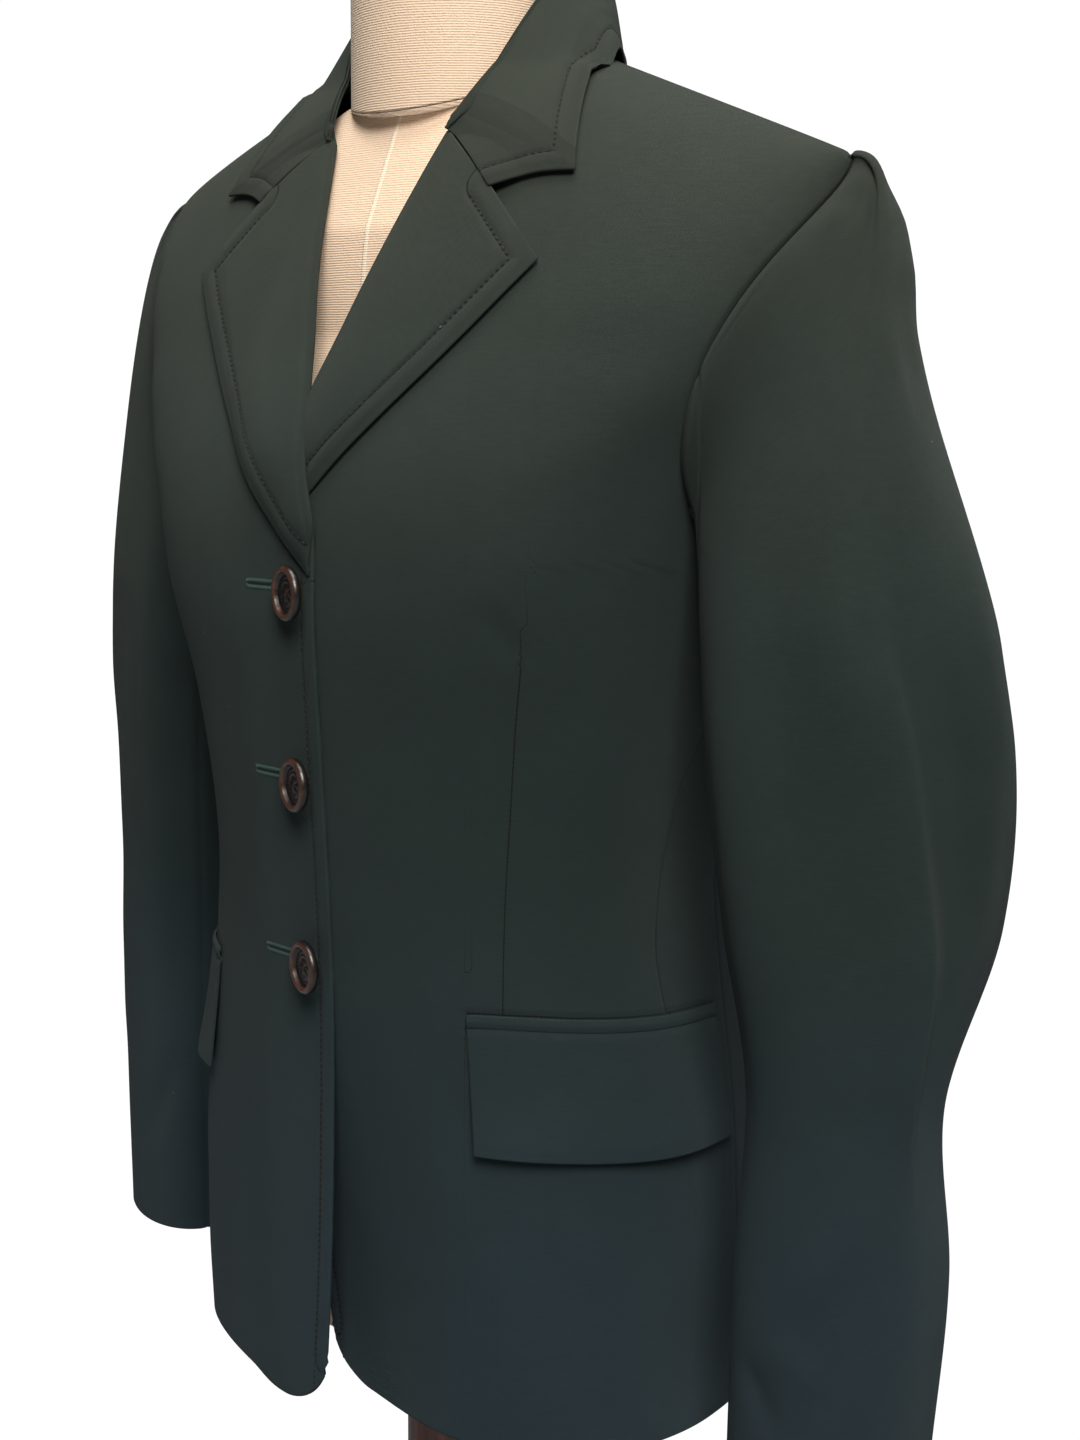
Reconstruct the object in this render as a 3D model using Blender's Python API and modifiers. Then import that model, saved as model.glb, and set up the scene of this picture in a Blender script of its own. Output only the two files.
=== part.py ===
"""A women's equestrian show coat, buttoned over a limbless dress form on a short stand.

Metres, +Z up. The coat faces -Y, the wearer's left is +X, and the origin is on the floor under
the pole. The panels share one surface, the inner face of the cloth: body_point gives it at an
angle round the body and a height, and every panel, lapel, welt and flap is a patch of it, moved
out. Angles are degrees from the centre front, growing
towards the wearer's left.
"""

import math
from collections import namedtuple

import bmesh
import bpy
import numpy as np

# Cloth
WALL = 0.0016
SEAM_GAP = 0.0003
LAYER = WALL + SEAM_GAP  # from one layer's inner face to the next one's
RESTING = 0.0008  # extra clearance of a patch whose facets differ from its panel's

# Heights above the floor
HEM_FRONT = 0.197
HEM_SIDE = 0.188
HEM_BACK = 0.184
UNDERARM = 0.606
CAP_START = 0.655  # where the chest begins to turn back to the shoulder
BREAK = 0.676  # where the two roll lines cross

# Body sections: a row for each height
Section = namedtuple("Section", "height half_width front back squareness")
BODY = (
    Section(0.170, 0.149, 0.118, 0.124, 2.2),
    Section(0.260, 0.147, 0.119, 0.122, 2.2),
    Section(0.340, 0.143, 0.121, 0.114, 2.2),
    Section(0.400, 0.137, 0.122, 0.103, 2.15),
    Section(0.450, 0.133, 0.124, 0.096, 2.1),
    Section(0.520, 0.139, 0.128, 0.098, 2.15),
    Section(0.590, 0.150, 0.130, 0.106, 2.3),
    Section(0.650, 0.164, 0.124, 0.112, 2.5),
    Section(0.710, 0.190, 0.102, 0.114, 2.6),
    Section(0.780, 0.203, 0.080, 0.106, 2.5),
    Section(0.850, 0.205, 0.070, 0.100, 2.4),
)
BUST = dict(height=0.600, angle=38.0, rise=0.045, spread_up=0.055, spread_round=24.0)

# Shoulder: the ridge from the neck to the tip, and the curve from chest to ridge
RIDGE_X = 0.070
RIDGE_HEIGHT = 0.8305
RIDGE_SLOPE = 0.39
SHOULDER_Y = -0.004
CAP_POWER = 3.2
RIDGE_GAP = 0.000002  # the cap is so steep here that the shoulder seam opens by about SEAM_GAP

# Neck opening: half width of the roll line at each height, on the wearer's left
Roll = namedtuple("Roll", "height x")
OVERLAP = 0.016
ROLL = (
    Roll(0.621, -OVERLAP),
    Roll(BREAK, 0.0),
    Roll(0.792, 0.036),
    Roll(0.8305, RIDGE_X),
)
NECK_BACK = 0.838

# Front edges below the last button
CUTAWAY_TOP = 0.36
CUTAWAY = 0.006
CORNER = 0.026
FLARE_TOP = 0.42
FLARE_OUT = 0.006  # the upper front stands out at its hem
FLARE_IN = 0.022  # the lower front falls back at its hem
FLARE_ANGLE = 42.0

# Seams round the body
SIDE_SEAM = 97.0
ARMHOLE_ANGLE = 95.0
ARMHOLE_FRONT = 25.0
ARMHOLE_BACK = 24.0
ARMHOLE_SKEW = 0.72
ARMHOLE_ROUND = 0.62

# Sleeve rings, on the wearer's left: centre, half width and half thickness, turned by yaw
Ring = namedtuple("Ring", "height x y half_width half_thick yaw")
SLEEVE = (
    Ring(0.575, 0.2145, -0.007, 0.067, 0.036, 35.0),
    Ring(0.530, 0.2190, -0.004, 0.071, 0.037, 36.0),
    Ring(0.450, 0.2240, -0.002, 0.063, 0.036, 36.0),
    Ring(0.370, 0.2230, -0.004, 0.045, 0.035, 34.0),
    Ring(0.290, 0.2250, -0.006, 0.045, 0.033, 32.0),
    Ring(0.200, 0.2230, -0.009, 0.044, 0.031, 30.0),
)
SLEEVE_LIFT = 0.62  # rise of the sleeve head as it leaves the shoulder
SLEEVE_REACH = 0.090
SLEEVE_FORWARD = 0.012
SLEEVE_FALL = 0.05
UNDERARM_DROP = 0.10
SLEEVE_SEAM_FRONT = 92.0
SLEEVE_SEAM_BACK = 255.0
UNDERARM_GAP = 6.0  # degrees by which the under sleeve's seams open where the armhole folds in

# Lapel outline: half width from the centre at each height, on the wearer's left
Outline = namedtuple("Outline", "x height")
LAPEL_FOOT_LEFT = Outline(0.019, 0.640)  # the rest lies hidden under the upper front
LAPEL_FOOT_RIGHT = Outline(-0.012, 0.606)
LAPEL_GORGE = Outline(0.036, 0.792)
LAPEL_NOTCH = Outline(0.070, 0.764)
LAPEL_TIP = Outline(0.102, 0.734)
LAPEL_BELLY = 0.004
LAPEL_RISE = 0.0026

# Collar: a row for each station from the gorge to the centre back
Station = namedtuple("Station", "fold_x fold_y fold_z edge_x edge_y edge_z stand lean")
COLLAR = (
    Station(0.0362, -0.0640, 0.7956, 0.0705, -0.0790, 0.7684, 0.0008, -0.0006),
    Station(0.0400, -0.0560, 0.8060, 0.1060, -0.0590, 0.7740, 0.006, 0.002),
    Station(0.0550, -0.0200, 0.8600, 0.0840, -0.0060, 0.8310, 0.0275, 0.0085),
    Station(0.0490, 0.0200, 0.8750, 0.0630, 0.0310, 0.8325, 0.0350, 0.000),
    Station(0.0280, 0.0480, 0.8790, 0.0390, 0.0620, 0.8320, 0.0390, 0.000),
    Station(0.0000, 0.0570, 0.8800, 0.0000, 0.0760, 0.8290, 0.0400, 0.000),
)

# Pockets, on the wearer's left
POCKET_HEIGHT = 0.399
POCKET_FRONT = 38.0
POCKET_BACK = 92.0
POCKET_DROOP = 0.010
WELT_WIDTH = 0.005
FLAP_DROP = 0.058
FLAP_SLANT = 2.0  # degrees by which the front end leans back at its foot
FLAP_KICK = 0.004

# Buttons
BUTTON_TOP = 0.592
BUTTON_STEP = 0.0862
BUTTON_RADIUS = 0.0125
BUTTON_THICK = 0.0052
BUTTON_RIM = 0.0026
BUTTON_X = 0.0095
BUTTON_TURN = -20.0  # the lifted front edge turns each button's face

# Dress form and stand
Padding = namedtuple("Padding", "height half_width front back")
FORM = (
    Padding(0.215, 0.132, 0.086, 0.102),
    Padding(0.300, 0.134, 0.090, 0.102),
    Padding(0.380, 0.122, 0.094, 0.088),
    Padding(0.450, 0.116, 0.096, 0.078),
    Padding(0.520, 0.122, 0.102, 0.082),
    Padding(0.590, 0.136, 0.110, 0.092),
    Padding(0.650, 0.146, 0.104, 0.098),
    Padding(0.705, 0.154, 0.084, 0.098),
)
FORM_BOTTOM = 0.205
FORM_SQUARE = 2.2
NECK_BASE = 0.821
NECK_TILT = 0.35  # the neck seam drops by this much for each metre forward
NECK_HALF_WIDTH = 0.0500
NECK_HALF_DEPTH = 0.0460
NECK_TOP = 0.955
NECK_TOP_RADIUS = 0.0480
NECK_LEAN = -0.020
FORM_CLEAR = 0.003
AXIS_BACK = 0.034  # the coat hangs this far behind the pole
POLE_RADIUS = 0.0145
BASE_RADIUS = 0.150
BASE_THICK = 0.018
BASE_DOME = 0.012

CLOTH_GREEN = (0.022, 0.031, 0.029, 1.0)
JERSEY = (0.80, 0.62, 0.46, 1.0)
WOOD = (0.16, 0.035, 0.022, 1.0)
HORN = (0.020, 0.010, 0.008, 1.0)


def smooth(rows, heights, column):
    """The named column of a table at each height, on a smooth curve through its rows."""
    level = np.array([row.height for row in rows])
    value = np.array([getattr(row, column) for row in rows])
    slope = np.gradient(value, level)
    z = np.clip(np.asarray(heights, float), level[0], level[-1])
    i = np.clip(np.searchsorted(level, z) - 1, 0, len(level) - 2)
    step = level[i + 1] - level[i]
    u = (z - level[i]) / step
    start = (1 + 2 * u) * (1 - u) ** 2 * value[i] + u * (1 - u) ** 2 * step * slope[i]
    end = u * u * (3 - 2 * u) * value[i + 1] + u * u * (u - 1) * step * slope[i + 1]
    return start + end


def ease(value, low, high):
    """0 below low, 1 above high, smooth between."""
    u = np.clip((np.asarray(value, float) - low) / (high - low), 0, 1)
    return u * u * (3 - 2 * u)


def ridge(x):
    """Height of the shoulder line over a point x from the centre."""
    return RIDGE_HEIGHT - RIDGE_SLOPE * (np.abs(x) - RIDGE_X)


def body_point(angle, height):
    """The inner face of the cloth of the body."""
    angle, height = np.broadcast_arrays(np.asarray(angle, float), np.asarray(height, float))
    turn = np.radians(angle)
    across, along = np.sin(turn), np.cos(turn)
    half = smooth(BODY, height, "half_width")
    depth = np.where(along > 0, smooth(BODY, height, "front"), smooth(BODY, height, "back"))
    power = smooth(BODY, height, "squareness")
    radius = (np.abs(across / half) ** power + np.abs(along / depth) ** power) ** (-1 / power)
    round_bust = np.exp(-(((np.abs(angle) - BUST["angle"]) / BUST["spread_round"]) ** 2))
    up_bust = np.exp(-(((height - BUST["height"]) / BUST["spread_up"]) ** 2))
    radius = radius * (1 + BUST["rise"] * round_bust * up_bust)
    x, y = radius * across, -radius * along
    rise = np.clip((height - CAP_START) / (ridge(x) - CAP_START), 0, 1)
    y = SHOULDER_Y + (y - SHOULDER_Y) * np.sqrt(1 - rise**CAP_POWER)
    return np.stack([x, y, height], -1)


def body_normal(angle, height):
    """Outward direction of body_point."""
    small_angle, small_height = 0.4, 0.0006
    round_body = body_point(angle + small_angle, height) - body_point(angle - small_angle, height)
    low = np.asarray(height) - small_height
    up_body = body_point(angle, height) - body_point(angle, low)
    normal = np.cross(round_body, up_body)
    return normal / np.maximum(np.linalg.norm(normal, axis=-1, keepdims=True), 1e-12)


def angle_at(x, height, front=True):
    """The angle in the front or back half at which the body is x from the centre."""
    start, end = (-40.0, 94.0) if front else (200.0, 86.0)
    low, high = np.full(np.shape(x), start), np.full(np.shape(x), end)
    for _ in range(40):
        middle = (low + high) / 2
        short = body_point(middle, height)[..., 0] < x
        low, high = np.where(short, middle, low), np.where(short, high, middle)
    return (low + high) / 2


def moved_off(points, clearance):
    """Points moved along Y until they clear the body: outside it, or inside if negative."""
    x, height = np.abs(points[..., 0]), points[..., 2]
    reach = np.minimum(height, ridge(x) - 0.0005)
    out = points.copy()
    for front, way in ((True, -1), (False, 1)):
        angle = angle_at(x, reach, front)
        normal = body_normal(angle, reach)
        slant = np.maximum(np.abs(normal[..., 1]), 0.35)
        face = body_point(angle, reach)[..., 1] + way * clearance / slant
        here = (points[..., 1] < SHOULDER_Y) == front
        short = (way * out[..., 1] < way * face) == (clearance > 0)
        fix = here & short & (height < ridge(x))
        out[..., 1] = np.where(fix, face, out[..., 1])
    return out


def clear_of_side(points, clearance):
    """Points round the wearer's left side, pushed out until they clear the body."""
    reach = np.minimum(points[..., 2], ridge(points[..., 0]) - 0.0005)
    facing = np.arctan2(points[..., 0], -points[..., 1])
    low, high = np.zeros(reach.shape), np.full(reach.shape, 180.0)
    for _ in range(40):
        middle = (low + high) / 2
        body = body_point(middle, reach)
        short = np.arctan2(body[..., 0], -body[..., 1]) < facing
        low, high = np.where(short, middle, low), np.where(short, high, middle)
    normal = body_normal(low, reach)
    away = np.sum((points - body_point(low, reach)) * normal, axis=-1)
    push = np.where(points[..., 2] < ridge(points[..., 0]), np.maximum(clearance - away, 0), 0)
    return points + normal * push[..., None]


def shoulder_tip():
    """Height of the armhole's top, where the ridge meets the armhole's middle angle."""
    low, high = 0.72, 0.83
    for _ in range(40):
        middle = (low + high) / 2
        if ridge(body_point(ARMHOLE_ANGLE, middle)[0]) > middle:
            low = middle
        else:
            high = middle
    return low


TIP = shoulder_tip()


def armhole_reach(height):
    """Share of the armhole's half angle at a height: widest below its middle."""
    off = np.clip((np.asarray(height, float) - UNDERARM) / (TIP - UNDERARM), 0, 1)
    return np.sin(np.pi * off**ARMHOLE_SKEW) ** ARMHOLE_ROUND


def side_of_front(height):
    """Outer edge of a front: the side seam, then the armhole."""
    return np.where(
        height > UNDERARM, ARMHOLE_ANGLE - ARMHOLE_FRONT * armhole_reach(height), SIDE_SEAM
    ) - np.where(height > UNDERARM, 0, 2 * ease(height, UNDERARM - 0.04, UNDERARM))


def side_of_back(height):
    """Outer edge of a back: the side seam, then the armhole."""
    return np.where(
        height > UNDERARM, ARMHOLE_ANGLE + ARMHOLE_BACK * armhole_reach(height), SIDE_SEAM
    ) - np.where(height > UNDERARM, 0, 2 * ease(height, UNDERARM - 0.04, UNDERARM))


def front_edge(height):
    """x of a left front's inner edge: cutaway, straight overlap, then the roll line."""
    cut = CUTAWAY * np.clip((CUTAWAY_TOP - height) / (CUTAWAY_TOP - HEM_FRONT), 0, 1) ** 2
    roll = np.interp(height, [r.height for r in ROLL], [r.x for r in ROLL])
    return roll + cut


def hem_height(angle):
    """Height of the hem at each angle."""
    turn = np.abs(angle)
    front = HEM_FRONT + (HEM_SIDE - HEM_FRONT) * ease(turn, 20, 90)
    return front + (HEM_BACK - HEM_SIDE) * ease(turn, 90, 180)


def column_top(angle_of, limit):
    """Height at which each column of a panel meets the shoulder ridge, or limit below it."""
    low, high = np.full(np.shape(limit), 0.70), np.full(np.shape(limit), 0.86)
    for _ in range(40):
        middle = (low + high) / 2
        under = ridge(body_point(angle_of(middle), middle)[..., 0]) > middle
        low, high = np.where(under, middle, low), np.where(under, high, middle)
    return np.minimum(low, limit)


def front_layer(points, normals, angle, upper):
    """Moves a front out where it laps over the other one, and swings the open edges."""
    near_edge = 1 - ease(angle, 9, 24)
    low = ease(FLARE_TOP - points[..., 2], 0, FLARE_TOP - HEM_FRONT)
    swing = low * (1 - ease(angle, 0, FLARE_ANGLE))
    if upper:
        lapped = (LAYER + RESTING) * near_edge
        return points + normals * (lapped + FLARE_OUT * swing)[..., None]
    return points - normals * (FLARE_IN * swing)[..., None]


def front_grid(upper, columns, rows):
    """Points of one front, drawn on the wearer's left; upper is the front on top."""
    share = (np.arange(columns + 1) / columns) ** 1.35
    lift = 1 - (1 - np.arange(rows + 1) / rows) ** 1.3

    def angle_of(height):
        inner = angle_at(front_edge(height), height)
        outer = side_of_front(height) - np.degrees(SEAM_GAP / 2 / 0.16)
        return inner + (outer - inner) * share

    top = column_top(angle_of, np.full(columns + 1, 0.90)) - RIDGE_GAP
    foot_angle = angle_of(np.full(columns + 1, HEM_FRONT + CORNER))
    from_edge = body_point(foot_angle, 0.21)[:, 0] - front_edge(HEM_FRONT + CORNER)
    inside = np.clip(1 - from_edge / CORNER, 0, 1)
    foot = hem_height(foot_angle) + CORNER * (1 - np.sqrt(1 - inside**2))
    height = foot + (top - foot) * lift[:, None]
    inner = angle_at(front_edge(height), height)
    outer = side_of_front(height) - np.degrees(SEAM_GAP / 2 / 0.16)
    angle = inner + (outer - inner) * share
    points, normals = body_point(angle, height), body_normal(angle, height)
    return front_layer(points, normals, angle, upper)


def back_grid(columns, rows):
    """Points of one back, drawn on the wearer's left, from the side to the centre back."""
    share = np.arange(columns + 1) / columns
    lift = 1 - (1 - np.arange(rows + 1) / rows) ** 1.3
    centre = 180 - np.degrees(SEAM_GAP / 2 / 0.10)

    def angle_of(height):
        inner = side_of_back(height) + np.degrees(SEAM_GAP / 2 / 0.16)
        return inner + (centre - inner) * share

    top = column_top(angle_of, np.full(columns + 1, NECK_BACK)) - RIDGE_GAP
    foot = hem_height(angle_of(np.full(columns + 1, HEM_SIDE)))
    height = foot + (top - foot) * lift[:, None]
    return body_point(angle_of(height), height)


def mirrored(points, side):
    """A wearer's left grid, or its mirror image on the right with its columns reversed."""
    return points if side > 0 else (points * (-1, 1, 1))[:, ::-1]


def sheet_mesh(name, points):
    """A mesh of quads over a grid of points, rows upwards and columns to the wearer's left."""
    rows, columns = points.shape[:2]
    bm = bmesh.new()
    verts = [[bm.verts.new(p + (0, AXIS_BACK, 0)) for p in row] for row in points]
    for j in range(rows - 1):
        for i in range(columns - 1):
            corners = (verts[j][i], verts[j][i + 1], verts[j + 1][i + 1], verts[j + 1][i])
            bm.faces.new(corners)
    mesh = bpy.data.meshes.new(name)
    bm.to_mesh(mesh)
    bm.free()
    return mesh


def material(name, colour, roughness):
    """A Principled material of one colour."""
    made = bpy.data.materials.new(name)
    made.use_nodes = True
    shader = made.node_tree.nodes["Principled BSDF"]
    shader.inputs["Base Color"].default_value = colour
    shader.inputs["Roughness"].default_value = roughness
    return made


def place(name, mesh, finish):
    """A smooth-shaded object of the mesh in the coat's collection."""
    mesh.materials.append(finish)
    mesh.shade_smooth()
    mesh.set_sharp_from_angle(angle=math.radians(40))
    made = bpy.data.objects.new(name, mesh)
    COAT.objects.link(made)
    return made


def cloth(name, points):
    """A cloth wall: a grid of its inner face, thickened outwards."""
    made = place(name, sheet_mesh(name, points), GREEN)
    wall = made.modifiers.new("wall", "SOLIDIFY")
    wall.thickness = WALL
    wall.offset = 1
    return made


def fronts():
    """The wearer's right front lies over the left one."""
    cloth("front_left", mirrored(front_grid(False, 12, 18), 1))
    cloth("front_right", mirrored(front_grid(True, 12, 18), -1))


def backs():
    """Two backs to the centre back seam."""
    grid = back_grid(8, 18)
    cloth("back_left", mirrored(grid, 1))
    cloth("back_right", mirrored(grid, -1))


def on_front(x, height, raised):
    """Points on a left front at x and height, moved out of its outer face by raised."""
    angle = angle_at(x, height)
    return body_point(angle, height) + body_normal(angle, height) * np.expand_dims(raised, -1)


def lapel_grid(columns, rows, foot, base):
    """A left lapel from its roll line outwards; base is the clearance from the front."""
    along = np.linspace(0, 1, rows + 1)[:, None]
    across = np.linspace(0, 1, columns + 1)[None, :]
    roll_height = foot.height + 0.004 + (LAPEL_GORGE.height - foot.height - 0.004) * along
    roll_x = np.interp(roll_height, [r.height for r in ROLL], [r.x for r in ROLL])
    if foot is LAPEL_FOOT_LEFT:
        roll_x = np.abs(roll_x) + 0.0012
    edge_height = foot.height + (LAPEL_TIP.height - foot.height) * along
    edge_x = foot.x + (LAPEL_TIP.x - foot.x) * along
    belly = LAPEL_BELLY * np.sin(np.pi * along)
    x = roll_x + (edge_x + belly - roll_x) * across
    height = roll_height + (edge_height - roll_height) * across
    straight_x = LAPEL_GORGE.x + (LAPEL_TIP.x - LAPEL_GORGE.x) * across
    straight_height = LAPEL_GORGE.height + (LAPEL_TIP.height - LAPEL_GORGE.height) * across
    corners = (LAPEL_GORGE.x, LAPEL_NOTCH.x, LAPEL_TIP.x)
    levels = (LAPEL_GORGE.height, LAPEL_NOTCH.height, LAPEL_TIP.height)
    notch = np.interp(straight_x, corners, levels) - straight_height
    height = height + notch * along**6
    raised = base + LAPEL_RISE * np.sin(np.pi * across**0.6) + 0.001 * across
    return on_front(x, height, raised)


def lapels():
    """The left lapel lies on its front; the right one lies on the lapped edge too."""
    for side, name, foot, base in (
        (1, "lapel_left", LAPEL_FOOT_LEFT, LAYER),
        (-1, "lapel_right", LAPEL_FOOT_RIGHT, 2 * LAYER + RESTING),
    ):
        cloth(name, mirrored(lapel_grid(6, 9, foot, base + RESTING), side))


def collar_grid(stations, rings):
    """The collar's outer face, from the wearer's right gorge round the neck to the left."""
    place_on = np.linspace(0, len(COLLAR) - 1, stations + 1)
    index = np.arange(len(COLLAR))

    def column(field):
        value = np.array([getattr(row, field) for row in COLLAR])
        return np.interp(place_on, index, value)

    fold = np.stack([column("fold_x"), column("fold_y"), column("fold_z")], -1)
    edge = np.stack([column("edge_x"), column("edge_y"), column("edge_z")], -1)
    stand, lean = column("stand"), column("lean")
    out = (edge - fold) * (1, 1, 0)
    out /= np.linalg.norm(out, axis=1, keepdims=True)
    foot = fold + out * lean[:, None] - np.outer(stand, (0, 0, 1))
    rows = []
    for share in np.linspace(0, 1, rings + 1):
        if share < 0.4:
            down = (0.4 - share) / 0.4
            rows.append(fold + (foot - fold) * down)
            continue
        fall = (share - 0.4) / 0.6
        point = fold + (edge - fold) * fall
        bow = np.sin(math.pi * fall) * 0.006
        rows.append(point + np.outer(np.full(len(point), bow), (0, 0, 1)))
    half = moved_off(np.array(rows), LAYER + 2 * RESTING)
    other = (half * (-1, 1, 1))[:, :-1]
    return np.concatenate([other, half[:, ::-1]], axis=1)


def collar():
    """One folded piece: the stand round the neck and the fall over the shoulders."""
    cloth("collar", collar_grid(10, 6))


def armhole_point(turn, inset):
    """A left armhole's edge at a turn from its top (0) by the front (90) to the underarm."""
    reach = np.radians(turn)
    up, forward = np.cos(reach), np.sin(reach)
    middle, half_height = (TIP + UNDERARM) / 2, (TIP - UNDERARM) / 2
    share = np.sign(forward) * armhole_reach(middle + half_height * up)
    half = np.where(forward > 0, ARMHOLE_FRONT, ARMHOLE_BACK)
    angle = ARMHOLE_ANGLE - (half - np.degrees(inset / 0.19)) * share
    height = middle + (half_height - inset) * up
    return body_point(angle, height) + body_normal(angle, height) * (LAYER + RESTING)


def ring_point(turn, height):
    """A left sleeve's inner face at a turn and height below the armhole."""
    table = SLEEVE[::-1]
    reach, yaw = np.radians(turn), np.radians(smooth(table, height, "yaw"))
    wide = smooth(table, height, "half_width") * -np.sin(reach)
    thick = smooth(table, height, "half_thick") * np.cos(reach)
    x = smooth(table, height, "x") + wide * np.cos(yaw) + thick * np.sin(yaw)
    y = smooth(table, height, "y") + wide * np.sin(yaw) - thick * np.cos(yaw)
    return np.stack(np.broadcast_arrays(x, y, height), -1)


def sleeve_point(turn, drop):
    """A left sleeve's inner face: drop runs 0 to 1 over the head, then 1 to 2 to the cuff."""
    turn, drop = np.broadcast_arrays(np.asarray(turn, float), np.asarray(drop, float))
    top, cuff = SLEEVE[0].height, SLEEVE[-1].height
    below = ring_point(turn, top + (cuff - top) * np.clip(drop - 1, 0, 1))
    u = np.clip(drop, 0, 1)[..., None]
    start, end = armhole_point(turn, 0.0), ring_point(turn, np.full(turn.shape, top))
    lift = np.cos(np.radians(turn))
    rise = np.where(lift > 0, SLEEVE_LIFT, UNDERARM_DROP) * lift
    forward = -SLEEVE_FORWARD * np.sin(np.radians(turn))
    leave = np.stack([SLEEVE_REACH * (0.85 + 0.25 * lift), forward, SLEEVE_REACH * rise], -1)
    fall = np.zeros_like(end)
    fall[..., 2] = -(SLEEVE_FALL + 2 * SLEEVE_FALL * (1 + lift))
    head = ((1 + 2 * u) * (1 - u) ** 2 * start + u * (1 - u) ** 2 * leave
            + u * u * (3 - 2 * u) * end + u * u * (u - 1) * fall)
    return clear_of_side(np.where(drop[..., None] < 1, head, below), LAYER + RESTING)


def sleeve_grid(first, last, columns, rows):
    """Points of one sleeve piece between two turns, cuff at the first row."""
    drop = np.linspace(2, 0, rows + 1)[:, None]
    inset = UNDERARM_GAP * np.clip(1 - drop / 0.4, 0, 1) * (last - first < 180)
    turn = first + inset + (last - first - 2 * inset) * np.arange(columns + 1) / columns
    return sleeve_point(turn, drop)


def sleeves():
    """Two-piece sleeves: the top sleeve faces out, the under sleeve faces the body."""
    gap = math.degrees(SEAM_GAP / 2 / 0.04)
    around = (
        ("sleeve_top", SLEEVE_SEAM_BACK - 360 + gap, SLEEVE_SEAM_FRONT - gap, 9),
        ("sleeve_under", SLEEVE_SEAM_FRONT + gap, SLEEVE_SEAM_BACK - gap, 7),
    )
    for side, word in ((1, "left"), (-1, "right")):
        for name, first, last, columns in around:
            grid = sleeve_grid(first, last, columns, 16)[:, ::-1]
            cloth(f"{name}_{word}", mirrored(grid, side))


def pockets():
    """A jetted mouth and its flap on each front."""
    for side, word in ((1, "left"), (-1, "right")):
        upper = side < 0
        angle = np.linspace(POCKET_FRONT, POCKET_BACK, 7)[None, :]
        for name, foot, top, rows, kick in (
            ("welt", 0.0, WELT_WIDTH, 1, 0.0),
            ("flap", -FLAP_DROP, -SEAM_GAP, 3, FLAP_KICK),
        ):
            drop = np.linspace(foot, top, rows + 1)[:, None]
            sag = ease(angle, POCKET_FRONT, POCKET_BACK) * POCKET_DROOP
            height = POCKET_HEIGHT + drop - sag
            slant = FLAP_SLANT * (drop / FLAP_DROP) * (POCKET_BACK - angle)
            wide = angle - np.minimum(slant, 0) / (POCKET_BACK - POCKET_FRONT)
            lift = LAYER + RESTING + kick * np.clip(-drop / FLAP_DROP, 0, 1) ** 1.5 + 0 * angle
            normal = body_normal(wide, height)
            base = front_layer(body_point(wide, height), normal, wide, upper)
            cloth(f"{name}_{word}", mirrored(base + normal * lift[..., None], side))


def button(name, height):
    """A round button: domed back, raised rim and a sunk face, turned about its axis."""
    profile = (
        (0.0, BUTTON_THICK - 0.0012),
        (BUTTON_RADIUS - BUTTON_RIM, BUTTON_THICK - 0.0012),
        (BUTTON_RADIUS - BUTTON_RIM + 0.0007, BUTTON_THICK),
        (BUTTON_RADIUS - 0.0008, BUTTON_THICK),
        (BUTTON_RADIUS, BUTTON_THICK - 0.0012),
        (BUTTON_RADIUS - 0.0006, 0.0012),
        (BUTTON_RADIUS - 0.0050, 0.0),
        (0.0, 0.0),
    )
    bm = bmesh.new()
    verts = [bm.verts.new((radius, 0, level)) for radius, level in profile]
    for first, second in zip(verts, verts[1:]):
        bm.edges.new((first, second))
    mesh = bpy.data.meshes.new(name)
    bm.to_mesh(mesh)
    bm.free()
    made = place(name, mesh, DARK_HORN)
    turned = made.modifiers.new("turned", "SCREW")
    turned.steps = turned.render_steps = 24
    turned.use_merge_vertices = True
    turned.merge_threshold = 0.00005
    seat = body_point(0.0, height) + body_normal(0.0, height) * 2 * LAYER
    clear = BUTTON_RADIUS * math.sin(math.radians(abs(BUTTON_TURN))) + 0.0012
    made.location = seat + np.array((BUTTON_X, AXIS_BACK - clear, 0))
    made.rotation_euler = (math.radians(90), 0, math.radians(BUTTON_TURN))
    return made


def buttons():
    """Three buttons down the centre front, fastened."""
    for number in range(3):
        button(f"button_{number + 1}", BUTTON_TOP - number * BUTTON_STEP)


def form_ring(height, columns):
    """One level ring of the padded torso."""
    angle = np.radians(np.arange(columns) * 360 / columns)
    across, along = np.sin(angle), np.cos(angle)
    half = smooth(FORM, height, "half_width")
    depth = np.where(along > 0, smooth(FORM, height, "front"), smooth(FORM, height, "back"))
    radius = (
        np.abs(across / half) ** FORM_SQUARE + np.abs(along / depth) ** FORM_SQUARE
    ) ** (-1 / FORM_SQUARE)
    return np.stack([radius * across, -radius * along, np.full(columns, height)], -1)


def neck_ring(share, columns):
    """A ring of the neck, from its tilted base seam (0) to its top (1)."""
    angle = np.radians(np.arange(columns) * 360 / columns)
    half = NECK_HALF_WIDTH + (NECK_TOP_RADIUS - NECK_HALF_WIDTH) * min(1, share * 2.2)
    depth = NECK_HALF_DEPTH + (NECK_TOP_RADIUS - NECK_HALF_DEPTH) * min(1, share * 2.2)
    x, y = half * np.sin(angle), NECK_LEAN - depth * np.cos(angle)
    base = NECK_BASE + NECK_TILT * (y - NECK_LEAN)
    return np.stack([x, y, base + (NECK_TOP - base) * share], -1)


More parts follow.
